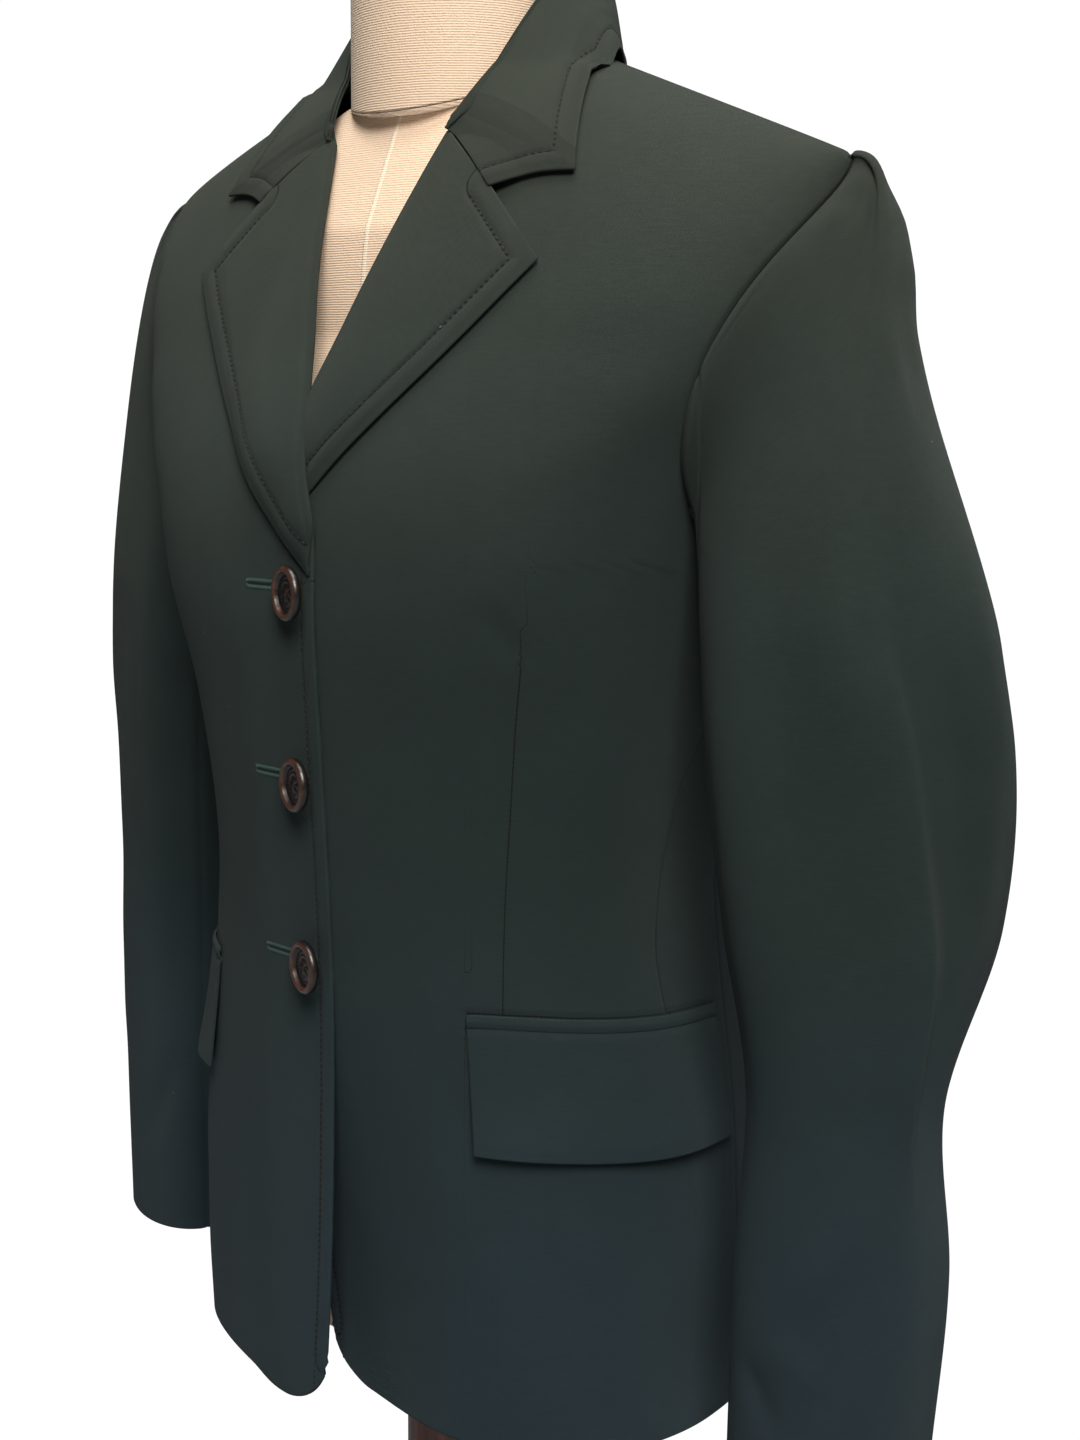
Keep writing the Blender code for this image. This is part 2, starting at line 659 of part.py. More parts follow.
def closed_body(name, rings, finish, back=0.0):
    """A solid from rings of points, closed by a flat face at each end, moved back."""
    bm = bmesh.new()
    verts = [[bm.verts.new(p + (0, back, 0)) for p in ring] for ring in rings]
    count = len(verts[0])
    for low, high in zip(verts, verts[1:]):
        for i in range(count):
            k = (i + 1) % count
            bm.faces.new((low[i], low[k], high[k], high[i]))
    bm.faces.new(verts[0][::-1])
    bm.faces.new(verts[-1])
    mesh = bpy.data.meshes.new(name)
    bm.to_mesh(mesh)
    bm.free()
    return place(name, mesh, finish)


def dress_form():
    """The limbless torso, its shoulders closing in to the neck seam, and the neck."""
    columns = 24
    rings = [form_ring(FORM_BOTTOM, columns) * (0.94, 0.94, 1)]
    rings += [form_ring(h, columns) for h in np.linspace(0.215, FORM[-1].height, 11)]
    chest, seam = rings[-1], neck_ring(0.0, columns) - (0, 0, SEAM_GAP)
    inward = seam - chest
    inward[:, 2] = 0
    for u in np.linspace(0, 1, 7)[1:]:
        rise = np.zeros_like(chest)
        rise[:, 2] = 0.13
        slope = inward * 1.1
        slope[:, 2] = 0.030
        ring = ((1 + 2 * u) * (1 - u) ** 2 * chest + u * (1 - u) ** 2 * rise
                + u * u * (3 - 2 * u) * seam + u * u * (u - 1) * slope)
        lid = ridge(ring[:, 0]) - 2 * FORM_CLEAR
        ring[:, 2] = np.minimum(ring[:, 2], lid) if u < 1 else ring[:, 2]
        rings.append(moved_off(ring, -FORM_CLEAR) if u < 1 else ring)
    closed_body("form_body", rings, SKIN, AXIS_BACK)
    neck = [neck_ring(share, columns) for share in (0.0, 0.08, 0.25, 0.5, 0.94)]
    top = neck_ring(1.0, columns)
    neck.append(top * (0.93, 0.93, 1))
    closed_body("form_neck", neck, SKIN, AXIS_BACK)


def stand():
    """A round foot and a straight wood pole up to the form."""
    low, high = BASE_THICK + SEAM_GAP, FORM_BOTTOM - SEAM_GAP
    bpy.ops.mesh.primitive_cylinder_add(
        vertices=24, radius=POLE_RADIUS, depth=high - low, location=(0, 0, (low + high) / 2))
    pole = bpy.context.object
    pole.name = "pole"
    pole.data.materials.append(RED_WOOD)
    pole.data.shade_smooth()
    pole.data.set_sharp_from_angle(angle=math.radians(40))
    for owner in list(pole.users_collection):
        owner.objects.unlink(pole)
    COAT.objects.link(pole)
    angle = np.radians(np.arange(40) * 9)
    ring = np.stack([np.cos(angle), np.sin(angle), 0 * angle], -1)
    levels = (
        (BASE_RADIUS - 0.001, 0.0),
        (BASE_RADIUS, 0.001),
        (BASE_RADIUS, 0.005),
        (BASE_RADIUS - 0.004, 0.008),
        (BASE_RADIUS * 0.6, BASE_DOME),
        (POLE_RADIUS + 0.010, BASE_THICK),
    )
    rings = [ring * radius + (0, 0, level) for radius, level in levels]
    closed_body("base", rings, RED_WOOD)


for old in list(bpy.data.objects):
    bpy.data.objects.remove(old, do_unlink=True)
COAT = bpy.data.collections.new("Show coat")
bpy.context.scene.collection.children.link(COAT)
GREEN = material("dark green cloth", CLOTH_GREEN, 0.75)
SKIN = material("cream jersey", JERSEY, 0.85)
RED_WOOD = material("red-brown wood", WOOD, 0.45)
DARK_HORN = material("dark horn", HORN, 0.25)

fronts()
backs()
lapels()
collar()
sleeves()
pockets()
buttons()
dress_form()
stand()
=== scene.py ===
# A women's equestrian show coat on a limbless dress form: the looks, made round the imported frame.
# Metres, +Z up, the coat's front faces -Y and the wearer's left is +X.
import math

import bpy
import numpy as np
from mathutils import Matrix, Vector


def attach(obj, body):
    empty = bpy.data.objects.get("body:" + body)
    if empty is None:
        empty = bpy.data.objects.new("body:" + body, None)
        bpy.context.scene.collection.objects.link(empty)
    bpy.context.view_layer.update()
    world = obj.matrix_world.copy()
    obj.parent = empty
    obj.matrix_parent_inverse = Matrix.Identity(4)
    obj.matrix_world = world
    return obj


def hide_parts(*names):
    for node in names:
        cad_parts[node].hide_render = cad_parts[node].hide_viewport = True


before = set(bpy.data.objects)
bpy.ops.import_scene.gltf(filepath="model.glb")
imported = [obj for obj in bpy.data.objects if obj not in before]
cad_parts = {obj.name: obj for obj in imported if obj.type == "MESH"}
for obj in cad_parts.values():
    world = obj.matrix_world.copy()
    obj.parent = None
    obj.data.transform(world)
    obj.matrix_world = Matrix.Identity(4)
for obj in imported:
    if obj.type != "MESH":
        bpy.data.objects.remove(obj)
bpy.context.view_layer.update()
print("frame loaded")

# view, floor and lights
cameraSettings = dict(place=(0.605, -0.690, 0.683), turn=38.0, down=10.05, tilt=0.50, lens=47.15)


def makeCamera(s):
    turn, down, tilt = (math.radians(s[k]) for k in ("turn", "down", "tilt"))
    ahead = Vector((-math.sin(turn) * math.cos(down), math.cos(turn) * math.cos(down), -math.sin(down)))
    level = Vector((math.cos(turn), math.sin(turn), 0))
    right = level * math.cos(tilt) + level.cross(ahead) * math.sin(tilt)
    up = right.cross(ahead)
    data = bpy.data.cameras.new("photoView")
    data.sensor_fit, data.sensor_width, data.sensor_height = "AUTO", 36, 36
    data.lens, data.clip_start, data.clip_end = s["lens"], 0.02, 60
    camera = placeObject("photoView", data)
    camera.matrix_world = Matrix.Translation(s["place"]) @ Matrix((right, up, -ahead)).transposed().to_4x4()
    bpy.context.scene.camera = camera


lightSettings = dict(
    window=dict(place=(1.5, -1.5, 2.5), aim=(0.05, -0.05, 0.62), size=1.3, watts=102, tint=(1.0, 0.98, 0.93)),
    ceiling=dict(place=(0.1, -0.2, 2.9), aim=(0, 0, 0.6), size=1.4, watts=44, tint=(1.0, 0.97, 0.90)),
    back=dict(place=(0.9, 1.9, 1.8), aim=(0, 0, 0.6), size=1.4, watts=6, tint=(0.90, 0.96, 1.0)),
)
roomSettings = dict(
    sky=(0.92, 0.96, 1.0), skyLevel=0.06, floorColour=(0.26, 0.28, 0.30), floorGlow=0.03, shownGlow=1.05,
    depth=2.6, sweep=1.2, wide=7.0, tall=5.0, ahead=-4.0,
)


def placeObject(name, data):
    made = bpy.data.objects.new(name, data)
    bpy.context.scene.collection.objects.link(made)
    return made


def makeLight(name, s):
    data = bpy.data.lights.new(name, "AREA")
    data.energy, data.size, data.color = s["watts"], s["size"], s["tint"]
    light = placeObject(name, data)
    aim = Vector(s["aim"]) - Vector(s["place"])
    light.matrix_world = Matrix.Translation(s["place"]) @ aim.to_track_quat("-Z", "Y").to_matrix().to_4x4()


def makeRoom(s):
    world = bpy.data.worlds.new("studio")
    bpy.context.scene.world = world
    world.use_nodes = True
    back = world.node_tree.nodes["Background"]
    back.inputs["Color"].default_value = (*s["sky"], 1)
    back.inputs["Strength"].default_value = s["skyLevel"]
    sweep, foot = s["sweep"], s["depth"] - s["sweep"]  # a floor that sweeps up into a backdrop
    profile = [(s["ahead"], 0.0), (foot, 0.0)]
    profile += [(foot + sweep * math.sin(a), sweep - sweep * math.cos(a)) for a in np.linspace(0.1, 1.57, 14)]
    profile += [(s["depth"], s["tall"])]
    verts = [(x, y, z) for y, z in profile for x in (-s["wide"], s["wide"])]
    faces = [(2 * i, 2 * i + 1, 2 * i + 3, 2 * i + 2) for i in range(len(profile) - 1)]
    mesh = bpy.data.meshes.new("floor")
    mesh.from_pydata(verts, [], faces)
    mesh.shade_smooth()
    floor = placeObject("floor", mesh)
    pale = bpy.data.materials.new("paleFloor")
    pale.use_nodes = True
    nodes, link = pale.node_tree.nodes, pale.node_tree.links.new
    shader = nodes["Principled BSDF"]
    shader.inputs["Base Color"].default_value = (*s["floorColour"], 1)
    shader.inputs["Roughness"].default_value = 0.85
    shader.inputs["Emission Color"].default_value = (1, 1, 1, 1)
    shader.inputs["Emission Strength"].default_value = s["floorGlow"]
    # seen directly the room is plain white; it throws less light than that on the coat
    seen, white, either = (nodes.new("ShaderNode" + kind) for kind in ("LightPath", "Emission", "MixShader"))
    white.inputs["Strength"].default_value = s["shownGlow"]
    for slot, given in enumerate((seen.outputs["Is Camera Ray"], shader.outputs[0], white.outputs[0])):
        link(given, either.inputs[slot])
    link(either.outputs[0], nodes["Material Output"].inputs["Surface"])
    mesh.materials.append(pale)


makeCamera(cameraSettings)
for lightName, lightValues in lightSettings.items():
    makeLight(lightName, lightValues)
makeRoom(roomSettings)
bpy.context.scene.view_settings.view_transform = "Standard"
print("room ready")

# shader effects shared by the finishes


def feed(tree, node, values):  # each input by its name or number: a link, or a plain value
    for key, value in values.items():
        socket = node.inputs[key]
        if isinstance(value, bpy.types.NodeSocket):
            tree.links.new(value, socket)
        elif socket.type == "RGBA":
            socket.default_value = (*value[:3], 1)
        else:
            socket.default_value = value


def addNode(tree, kind, values=None, **settings):
    made = tree.nodes.new(kind)
    for key, value in settings.items():
        setattr(made, key, value)
    feed(tree, made, values or {})
    return made


def addMath(tree, operation, *values):
    return addNode(tree, "ShaderNodeMath", dict(enumerate(values)), operation=operation).outputs[0]


def addRange(tree, value, low, high, toLow=0.0, toHigh=1.0, kind="SMOOTHSTEP"):
    values = {"Value": value, "From Min": low, "From Max": high, "To Min": toLow, "To Max": toHigh}
    return addNode(tree, "ShaderNodeMapRange", values, interpolation_type=kind).outputs["Result"]


def addMix(tree, factor, first, second):
    return addNode(tree, "ShaderNodeMix", {0: factor, 6: first, 7: second}, data_type="RGBA").outputs[2]


def addNoise(tree, place, scale, detail, flat=False, **values):
    values = {"Vector": place, "Scale": scale, "Detail": detail, **values}
    return addNode(tree, "ShaderNodeTexNoise", values, noise_dimensions="2D" if flat else "3D").outputs["Fac"]


def addStretch(tree, place, scale):
    return addNode(tree, "ShaderNodeMapping", {0: place, "Scale": scale}).outputs[0]


def addAttribute(tree, name):
    return addNode(tree, "ShaderNodeAttribute", attribute_name=name).outputs["Fac"]


def addBump(tree, shader, height, strength, distance):
    bump = addNode(tree, "ShaderNodeBump", {"Height": height, "Strength": strength, "Distance": distance})
    feed(tree, shader, {"Normal": bump.outputs[0]})


def newGroup(name, inputs, outputs):  # an input without a value is a place
    tree = bpy.data.node_groups.new(name, "ShaderNodeTree")
    for label, value in inputs.items():
        kind = "NodeSocketVector" if value is None else "NodeSocketFloat"
        made = tree.interface.new_socket(name=label, in_out="INPUT", socket_type=kind)
        if value is not None:
            made.default_value = value
    for label in outputs:
        tree.interface.new_socket(name=label, in_out="OUTPUT", socket_type="NodeSocketFloat")
    return tree, tree.nodes.new("NodeGroupInput").outputs, tree.nodes.new("NodeGroupOutput")


def weaveGroup():
    # plain weave on the cloth's own map: over and under threads, a little uneven
    tree, given, result = newGroup("fineWeave", {"Map": None, "Thread": 0.0006, "Uneven": 0.35}, ("Height", "Tone"))
    parts = addNode(tree, "ShaderNodeSeparateXYZ", {0: given["Map"]}).outputs
    wobble = addNoise(tree, given["Map"], 260.0, 2.0, flat=True)
    frequency = addMath(tree, "DIVIDE", 2 * math.pi, given["Thread"])
    shift = addMath(tree, "MULTIPLY", wobble, given["Uneven"])
    warp, weft = (addMath(tree, "SINE", addMath(tree, "MULTIPLY_ADD", parts[k], frequency, shift)) for k in (0, 1))
    cross = addMath(tree, "MULTIPLY", warp, weft)
    streak = addNoise(tree, addStretch(tree, given["Map"], (140.0, 900.0, 1.0)), 1.0, 3.0, flat=True)
    feed(tree, result, {
        "Height": addMath(tree, "MULTIPLY", addMath(tree, "MULTIPLY_ADD", wobble, 1.2, cross), 0.5),
        "Tone": addMath(tree, "MULTIPLY_ADD", streak, 0.8, addMath(tree, "MULTIPLY", cross, 0.2)),
    })
    return tree


def lintGroup():
    # sparse pale specks that dark cloth gathers
    tree, given, result = newGroup("lint", {"Place": None, "Spacing": 90.0, "Share": 0.16}, ("Mask",))
    values = {"Vector": given["Place"], "Scale": given["Spacing"], "Randomness": 1.0}
    cells = addNode(tree, "ShaderNodeTexVoronoi", values, feature="F1").outputs
    chance = addNode(tree, "ShaderNodeSeparateColor", {0: cells["Color"]}).outputs
    chosen = addMath(tree, "LESS_THAN", chance[0], given["Share"])
    speck = addMath(tree, "LESS_THAN", cells["Distance"], addMath(tree, "MULTIPLY_ADD", chance[1], 0.030, 0.016))
    feed(tree, result, {"Mask": addMath(tree, "MULTIPLY", chosen, speck)})
    return tree


def lineGroup():
    # a sewn line from its distance over the surface: a dark line in a ditch, uneven at each stitch
    inputs = {"Distance": 1.0, "Run": 0.0, "Width": 0.0006, "Pitch": 0.0022, "Dash": 0.25}
    tree, given, result = newGroup("sewnLine", inputs, ("Line", "Ditch"))
    away = addMath(tree, "ABSOLUTE", given["Distance"])
    turn = addMath(tree, "DIVIDE", addMath(tree, "MULTIPLY", given["Run"], 2 * math.pi), given["Pitch"])
    pull = addMath(tree, "MULTIPLY_ADD", addMath(tree, "SINE", turn), given["Dash"], 0.8)
    width = addMath(tree, "MULTIPLY", given["Width"], pull)
    feed(tree, result, {
        "Line": addRange(tree, away, width, addMath(tree, "MULTIPLY", width, 0.35)),
        "Ditch": addRange(tree, away, addMath(tree, "MULTIPLY", given["Width"], 4.5), 0.0),
    })
    return tree


groups = dict(weave=weaveGroup(), lint=lintGroup(), line=lineGroup())


def addGroup(tree, name, **values):
    return addNode(tree, "ShaderNodeGroup", values, node_tree=groups[name]).outputs


def newMaterial(name):  # with its tree, its shader and the place on the object
    made = bpy.data.materials.new(name)
    made.use_nodes = True
    tree = made.node_tree
    return made, tree, tree.nodes["Principled BSDF"], addNode(tree, "ShaderNodeTexCoord").outputs["Object"]


# upper, middle and lower are painted light: the cloth is lighter on top where the light falls, darkest at the middle,
# and bluer low down as painted floor bounce
clothFinishAndPaintedLight = dict(
    upper=(0.0255, 0.0325, 0.0255), middle=(0.0150, 0.0250, 0.0240), lower=(0.0160, 0.0300, 0.0385),
    roughness=0.80, sheen=0.07, sheenTint=(0.60, 0.66, 0.60), thread=0.00055, weaveDepth=0.00016,
    lineColour=(0.0035, 0.0048, 0.0050), lintColour=(0.20, 0.24, 0.23),
)
stitchSet = dict(pitch=0.0031, long=0.0022, wide=0.00080)
# each sewn line's width, depth, pitch and unevenness
sewnLines = dict(
    frontDart=(0.00052, 0.0005, 0.0022, 0.25), sideDart=(0.00052, 0.0004, 0.0022, 0.25),
    pocketMouth=(0.0007, 0.0005, 0.0022, 0.25), topstitch=(0.00070, 0.0003, stitchSet["pitch"], 0.7),
)


def makeCloth(name, s):
    made, tree, shader, place = newMaterial(name)
    sewn = addNode(tree, "ShaderNodeUVMap", uv_map="clothMap").outputs[0]
    # painted light by height: the painted bluish bounce low down, the painted shade of the middle and the painted lit
    # top; the noise only makes their borders uneven
    level = addNode(tree, "ShaderNodeSeparateXYZ", {0: place}).outputs[2]
    patchy = addMath(tree, "SUBTRACT", addNoise(tree, place, 5.5, 2.0, Roughness=0.5), 0.5)
    height = addMath(tree, "MULTIPLY_ADD", patchy, 0.22, level)
    low = addMix(tree, addRange(tree, height, 0.24, 0.50), s["lower"], s["middle"])
    colour = addMix(tree, addRange(tree, height, 0.52, 0.80), low, s["upper"])
    weave = addGroup(tree, "weave", Map=sewn, Thread=s["thread"])
    tone = addRange(tree, weave["Tone"], 0.1, 0.9, 0.90, 1.10, kind="LINEAR")
    soft = addNoise(tree, place, 38.0, 4.0, Roughness=0.55)
    tone = addMath(tree, "MULTIPLY", tone, addRange(tree, soft, 0.3, 0.7, 0.95, 1.05, kind="LINEAR"))
    colour = addNode(tree, "ShaderNodeVectorMath", {0: colour, "Scale": tone}, operation="SCALE").outputs[0]
    relief = addMath(tree, "MULTIPLY", weave["Height"], s["weaveDepth"])
    for key, (width, depth, pitch, dash) in sewnLines.items():
        line = addGroup(tree, "line", Distance=addAttribute(tree, key), Run=addAttribute(tree, key + "Run"),
                        Width=width, Pitch=pitch, Dash=dash)
        colour = addMix(tree, line["Line"], colour, s["lineColour"])
        relief = addMath(tree, "MULTIPLY_ADD", line["Ditch"], -depth, relief)
    lint = addGroup(tree, "lint", Place=place, Spacing=62.0, Share=0.085)
    addBump(tree, shader, relief, 1.0, 1.0)
    feed(tree, shader, {
        "Base Color": addMix(tree, addMath(tree, "MULTIPLY", lint["Mask"], 0.75), colour, s["lintColour"]),
        "Roughness": addRange(tree, weave["Tone"], 0, 1, s["roughness"] + 0.05, s["roughness"] - 0.05, kind="LINEAR"),
        "Sheen Weight": s["sheen"], "Sheen Roughness": 0.45, "Sheen Tint": s["sheenTint"], "Specular IOR Level": 0.20,
    })
    return made


threadFinish = dict(dark=(0.0035, 0.0045, 0.0045), teal=(0.030, 0.075, 0.064), roughness=0.62)


def makeThread(name, colour, s):
    made, tree, shader, place = newMaterial(name)
    ply = addNoise(tree, place, 2600.0, 2.0)
    darker = tuple(c * 0.62 for c in colour)
    addBump(tree, shader, ply, 0.6, 0.0002)
    feed(tree, shader, {
        "Base Color": addMix(tree, addRange(tree, ply, 0.35, 0.65), darker, colour), "Roughness": s["roughness"]})
    return made


# warm is the colour of the painted highlight and wear on the raised crests, and of the lighter swirls in the horn
buttonFinish = dict(dark=(0.0060, 0.0035, 0.0030), warm=(0.085, 0.030, 0.016), roughness=0.30, coat=0.25)


def makeHorn(s):
    made, tree, shader, place = newMaterial("darkHorn")
    swirl = addRange(tree, addNoise(tree, place, 120.0, 4.0, Distortion=1.4), 0.42, 0.68)
    # painted highlight and wear: the raised crests turn warm and lighter; the swirl is the horn's own figure
    wearAndHighlight = addMath(tree, "MULTIPLY_ADD", swirl, 0.30, addAttribute(tree, "rim"))
    fine = addNoise(tree, place, 900.0, 3.0)
    addBump(tree, shader, fine, 0.4, 0.0001)
    feed(tree, shader, {
        "Base Color": addMix(tree, addRange(tree, wearAndHighlight, 0.3, 1.5), s["dark"], s["warm"]),
        "Roughness": addRange(tree, fine, 0.3, 0.7, s["roughness"], s["roughness"] + 0.14),
        "Coat Weight": s["coat"], "Coat Roughness": 0.12,
    })
    return made


jerseyFinish = dict(
    colour=(0.80, 0.60, 0.44), shade=(0.69, 0.50, 0.355), seam=(0.86, 0.72, 0.57), course=0.0011, depth=0.00028)


def makeJersey(s):
    made, tree, shader, place = newMaterial("creamJersey")
    level = addNode(tree, "ShaderNodeSeparateXYZ", {0: place}).outputs[2]
    drift = addMath(tree, "MULTIPLY", addNoise(tree, place, 60.0, 3.0), 5.0)
    rib = addMath(tree, "SINE", addMath(tree, "MULTIPLY_ADD", level, 2 * math.pi / s["course"], drift))
    fuzz = addNoise(tree, place, 900.0, 3.0, Roughness=0.65)
    knit = addMath(tree, "MULTIPLY_ADD", fuzz, 1.8, addMath(tree, "MULTIPLY", rib, 0.38))
    seam = addRange(tree, addMath(tree, "ABSOLUTE", addAttribute(tree, "frontSeam")), 0.0016, 0.0006)
    ditch = addRange(tree, addMath(tree, "ABSOLUTE", addAttribute(tree, "neckSeam")), 0.0009, 0.0002)
    colour = addMix(tree, addRange(tree, knit, 0.2, 1.5), s["shade"], s["colour"])
    colour = addMix(tree, addMath(tree, "MULTIPLY", seam, 0.75), colour, s["seam"])
    colour = addMix(tree, addMath(tree, "MULTIPLY", ditch, 0.15), colour, tuple(c * 0.45 for c in s["shade"]))
    relief = addMath(tree, "MULTIPLY_ADD", knit, s["depth"], addMath(tree, "MULTIPLY", ditch, -0.0001))
    addBump(tree, shader, addMath(tree, "MULTIPLY_ADD", seam, 0.0004, relief), 0.8, 1.0)
    feed(tree, shader, {"Base Color": colour, "Roughness": 0.9, "Sheen Weight": 0.15, "Sheen Roughness": 0.5})
    return made


woodFinish = dict(dark=(0.055, 0.011, 0.008), light=(0.20, 0.050, 0.026), roughness=0.38, grain=46.0)


def makeWood(name, s, stretch):
    made, tree, shader, place = newMaterial(name)
    long = addStretch(tree, place, stretch)
    grain = addNoise(tree, long, s["grain"], 6.0, Roughness=0.6, Distortion=0.6)
    mixed = addMath(tree, "MULTIPLY_ADD", addNoise(tree, long, s["grain"] * 9, 2.0), 0.35, grain)
    addBump(tree, shader, mixed, 0.35, 0.0003)
    feed(tree, shader, {
        "Base Color": addMix(tree, addRange(tree, mixed, 0.48, 0.88), s["dark"], s["light"]),
        "Roughness": addRange(tree, mixed, 0.4, 0.9, s["roughness"] + 0.12, s["roughness"] - 0.06),
        "Coat Weight": 0.3, "Coat Roughness": 0.2,
    })
    return made


finishes = dict(
    cloth=makeCloth("showCloth", clothFinishAndPaintedLight),
    # the dark thread's material also paints the shade in the buttonhole slits
    darkThreadAndSlitShade=makeThread("darkThreadAndSlitShade", threadFinish["dark"], threadFinish),
    tealThread=makeThread("tealThread", threadFinish["teal"], threadFinish),
    horn=makeHorn(buttonFinish),
    jersey=makeJersey(jerseyFinish),
    poleWood=makeWood("poleWood", woodFinish, (1.0, 1.0, 0.12)),
    footWood=makeWood("footWood", woodFinish, (1.0, 0.14, 1.0)),
)
print("finishes ready")

# the coat's own surface
coatBack = 0.034  # the coat hangs this far behind the pole
wall, seamGap = 0.0016, 0.0003
layer = wall + seamGap
resting = 0.0008
seamRound = 0.0018  # how far from its edge a seam starts to roll in
bodyReach, sleeveReach = 0.0022, 0.00087  # metres to a degree, round the body and round a sleeve

# height, half width, front depth, back depth, squareness
bodyRows = np.array((
    (0.170, 0.149, 0.118, 0.124, 2.2), (0.260, 0.147, 0.119, 0.122, 2.2), (0.340, 0.143, 0.121, 0.114, 2.2),
    (0.400, 0.137, 0.122, 0.103, 2.15), (0.450, 0.133, 0.124, 0.096, 2.1), (0.520, 0.139, 0.128, 0.098, 2.15),
    (0.590, 0.150, 0.130, 0.106, 2.3), (0.650, 0.164, 0.124, 0.112, 2.5), (0.710, 0.190, 0.102, 0.114, 2.6),
    (0.780, 0.203, 0.080, 0.106, 2.5), (0.850, 0.205, 0.070, 0.100, 2.4),
))
shape = dict(
    bustHeight=0.600, bustAngle=38.0, bustRise=0.045, bustUp=0.055, bustRound=24.0,
    ridgeX=0.070, ridgeHeight=0.8305, ridgeSlope=0.39, shoulderY=-0.004, capStart=0.655, capPower=3.2,
    hemFront=0.197, hemSide=0.188, hemBack=0.184, underarm=0.606, neckBack=0.838,
    cutawayTop=0.36, cutaway=0.006, corner=0.026, cornerAt=0.21,
    flareTop=0.42, flareOut=0.006, flareIn=0.022, flareAngle=42.0,
    sideSeam=97.0, armholeAngle=95.0, armholeFront=25.0, armholeBack=24.0, armholeSkew=0.72, armholeRound=0.62,
)
rollHeights = np.array((0.621, 0.676, 0.792, 0.8305))
rollHalf = np.array((-0.016, 0.0, 0.036, 0.070))

# soft folds: side, angle and height at both ends, width, rise
bodyFolds = (
    (1, 47, 0.585, 45, 0.400, 0.013, -0.0016), (1, 40, 0.590, 47, 0.566, 0.005, -0.0012),
    (1, 87, 0.530, 77, 0.440, 0.010, -0.0012), (1, 77, 0.440, 79, 0.400, 0.010, -0.0010),
    (1, 62, 0.560, 66, 0.430, 0.022, 0.0022), (1, 30, 0.560, 28, 0.420, 0.024, 0.0012),
    (1, 66, 0.690, 52, 0.640, 0.016, 0.0020), (1, 58, 0.715, 46, 0.650, 0.016, -0.0016),
    (1, 20, 0.380, 22, 0.200, 0.020, -0.0022), (1, 44, 0.330, 50, 0.190, 0.022, 0.0022),
    (1, 74, 0.320, 80, 0.185, 0.018, -0.0022), (1, 92, 0.420, 100, 0.190, 0.014, 0.0030),
    (-1, 45, 0.580, 46, 0.400, 0.013, -0.0014), (-1, 84, 0.525, 78, 0.410, 0.010, -0.0012),
    (-1, 60, 0.570, 62, 0.420, 0.022, 0.0020), (-1, 64, 0.690, 50, 0.630, 0.018, 0.0022),
    (-1, 26, 0.560, 24, 0.430, 0.022, 0.0010), (-1, 22, 0.350, 26, 0.200, 0.020, -0.0018),
    (-1, 52, 0.340, 58, 0.190, 0.022, 0.0024), (-1, 78, 0.330, 84, 0.190, 0.020, -0.0020),
    (1, 118, 0.640, 128, 0.520, 0.018, 0.0026), (1, 140, 0.700, 132, 0.600, 0.020, -0.0018),
    (1, 150, 0.480, 146, 0.400, 0.022, 0.0016), (1, 122, 0.360, 128, 0.186, 0.022, 0.0034),
    (1, 144, 0.340, 150, 0.186, 0.020, -0.0026), (1, 165, 0.360, 168, 0.186, 0.018, 0.0022),
    (-1, 116, 0.640, 130, 0.530, 0.018, 0.0022), (-1, 142, 0.710, 130, 0.620, 0.020, -0.0020),
    (-1, 152, 0.470, 150, 0.390, 0.020, 0.0014), (-1, 118, 0.350, 124, 0.186, 0.022, 0.0030),
    (-1, 140, 0.350, 146, 0.186, 0.020, -0.0024), (-1, 163, 0.340, 166, 0.186, 0.018, 0.0020),
    (1, 128, 0.470, 170, 0.455, 0.010, -0.0012), (-1, 126, 0.462, 168, 0.450, 0.010, -0.0012),
)


def curveBetween(t, start, leave, end, arrive):  # a smooth curve from one point to another, by its slopes
    near, far = (1 + 2 * t) * (1 - t) ** 2 * start + t * (1 - t) ** 2 * leave, t * t * (3 - 2 * t) * end
    return near + far + t * t * (t - 1) * arrive


def smoothColumn(table, heights, column):  # a smooth curve through one column of a table
    level, value = table[:, 0], table[:, column]
    slope = np.gradient(value, level)
    z = np.clip(np.asarray(heights, float), level[0], level[-1])
    i = np.clip(np.searchsorted(level, z) - 1, 0, len(level) - 2)
    step = level[i + 1] - level[i]
    u = (z - level[i]) / step
    return curveBetween(u, value[i], step * slope[i], value[i + 1], step * slope[i + 1])


def hump(value, width, centre=0.0):  # a soft round rise, one at its centre
    return np.exp(-(((np.asarray(value, float) - centre) / width) ** 2))


def ease(value, low, high):  # nought below low, one above high
    u = np.clip((np.asarray(value, float) - low) / (high - low), 0, 1)
    return u * u * (3 - 2 * u)


def foldField(across, along, rows):  # sum of soft ridges and valleys, each along a line
    total = np.zeros(np.broadcast(across, along).shape)
    for startX, startY, endX, endY, width, rise in rows:
        runX, runY = endX - startX, endY - startY
        length = math.hypot(runX, runY)
        t = ((across - startX) * runX + (along - startY) * runY) / length**2
        away = ((across - startX) * runY - (along - startY) * runX) / length
        fade = ease(t, -0.18, 0.35) * (1 - ease(t, 0.65, 1.18))
        left, right = width if isinstance(width, tuple) else (width, width)
        total += rise * fade * hump(away, np.where(away > 0, left, right))
    return total


def ridgeAt(x):  # the shoulder line's height
    return shape["ridgeHeight"] - shape["ridgeSlope"] * (np.abs(x) - shape["ridgeX"])


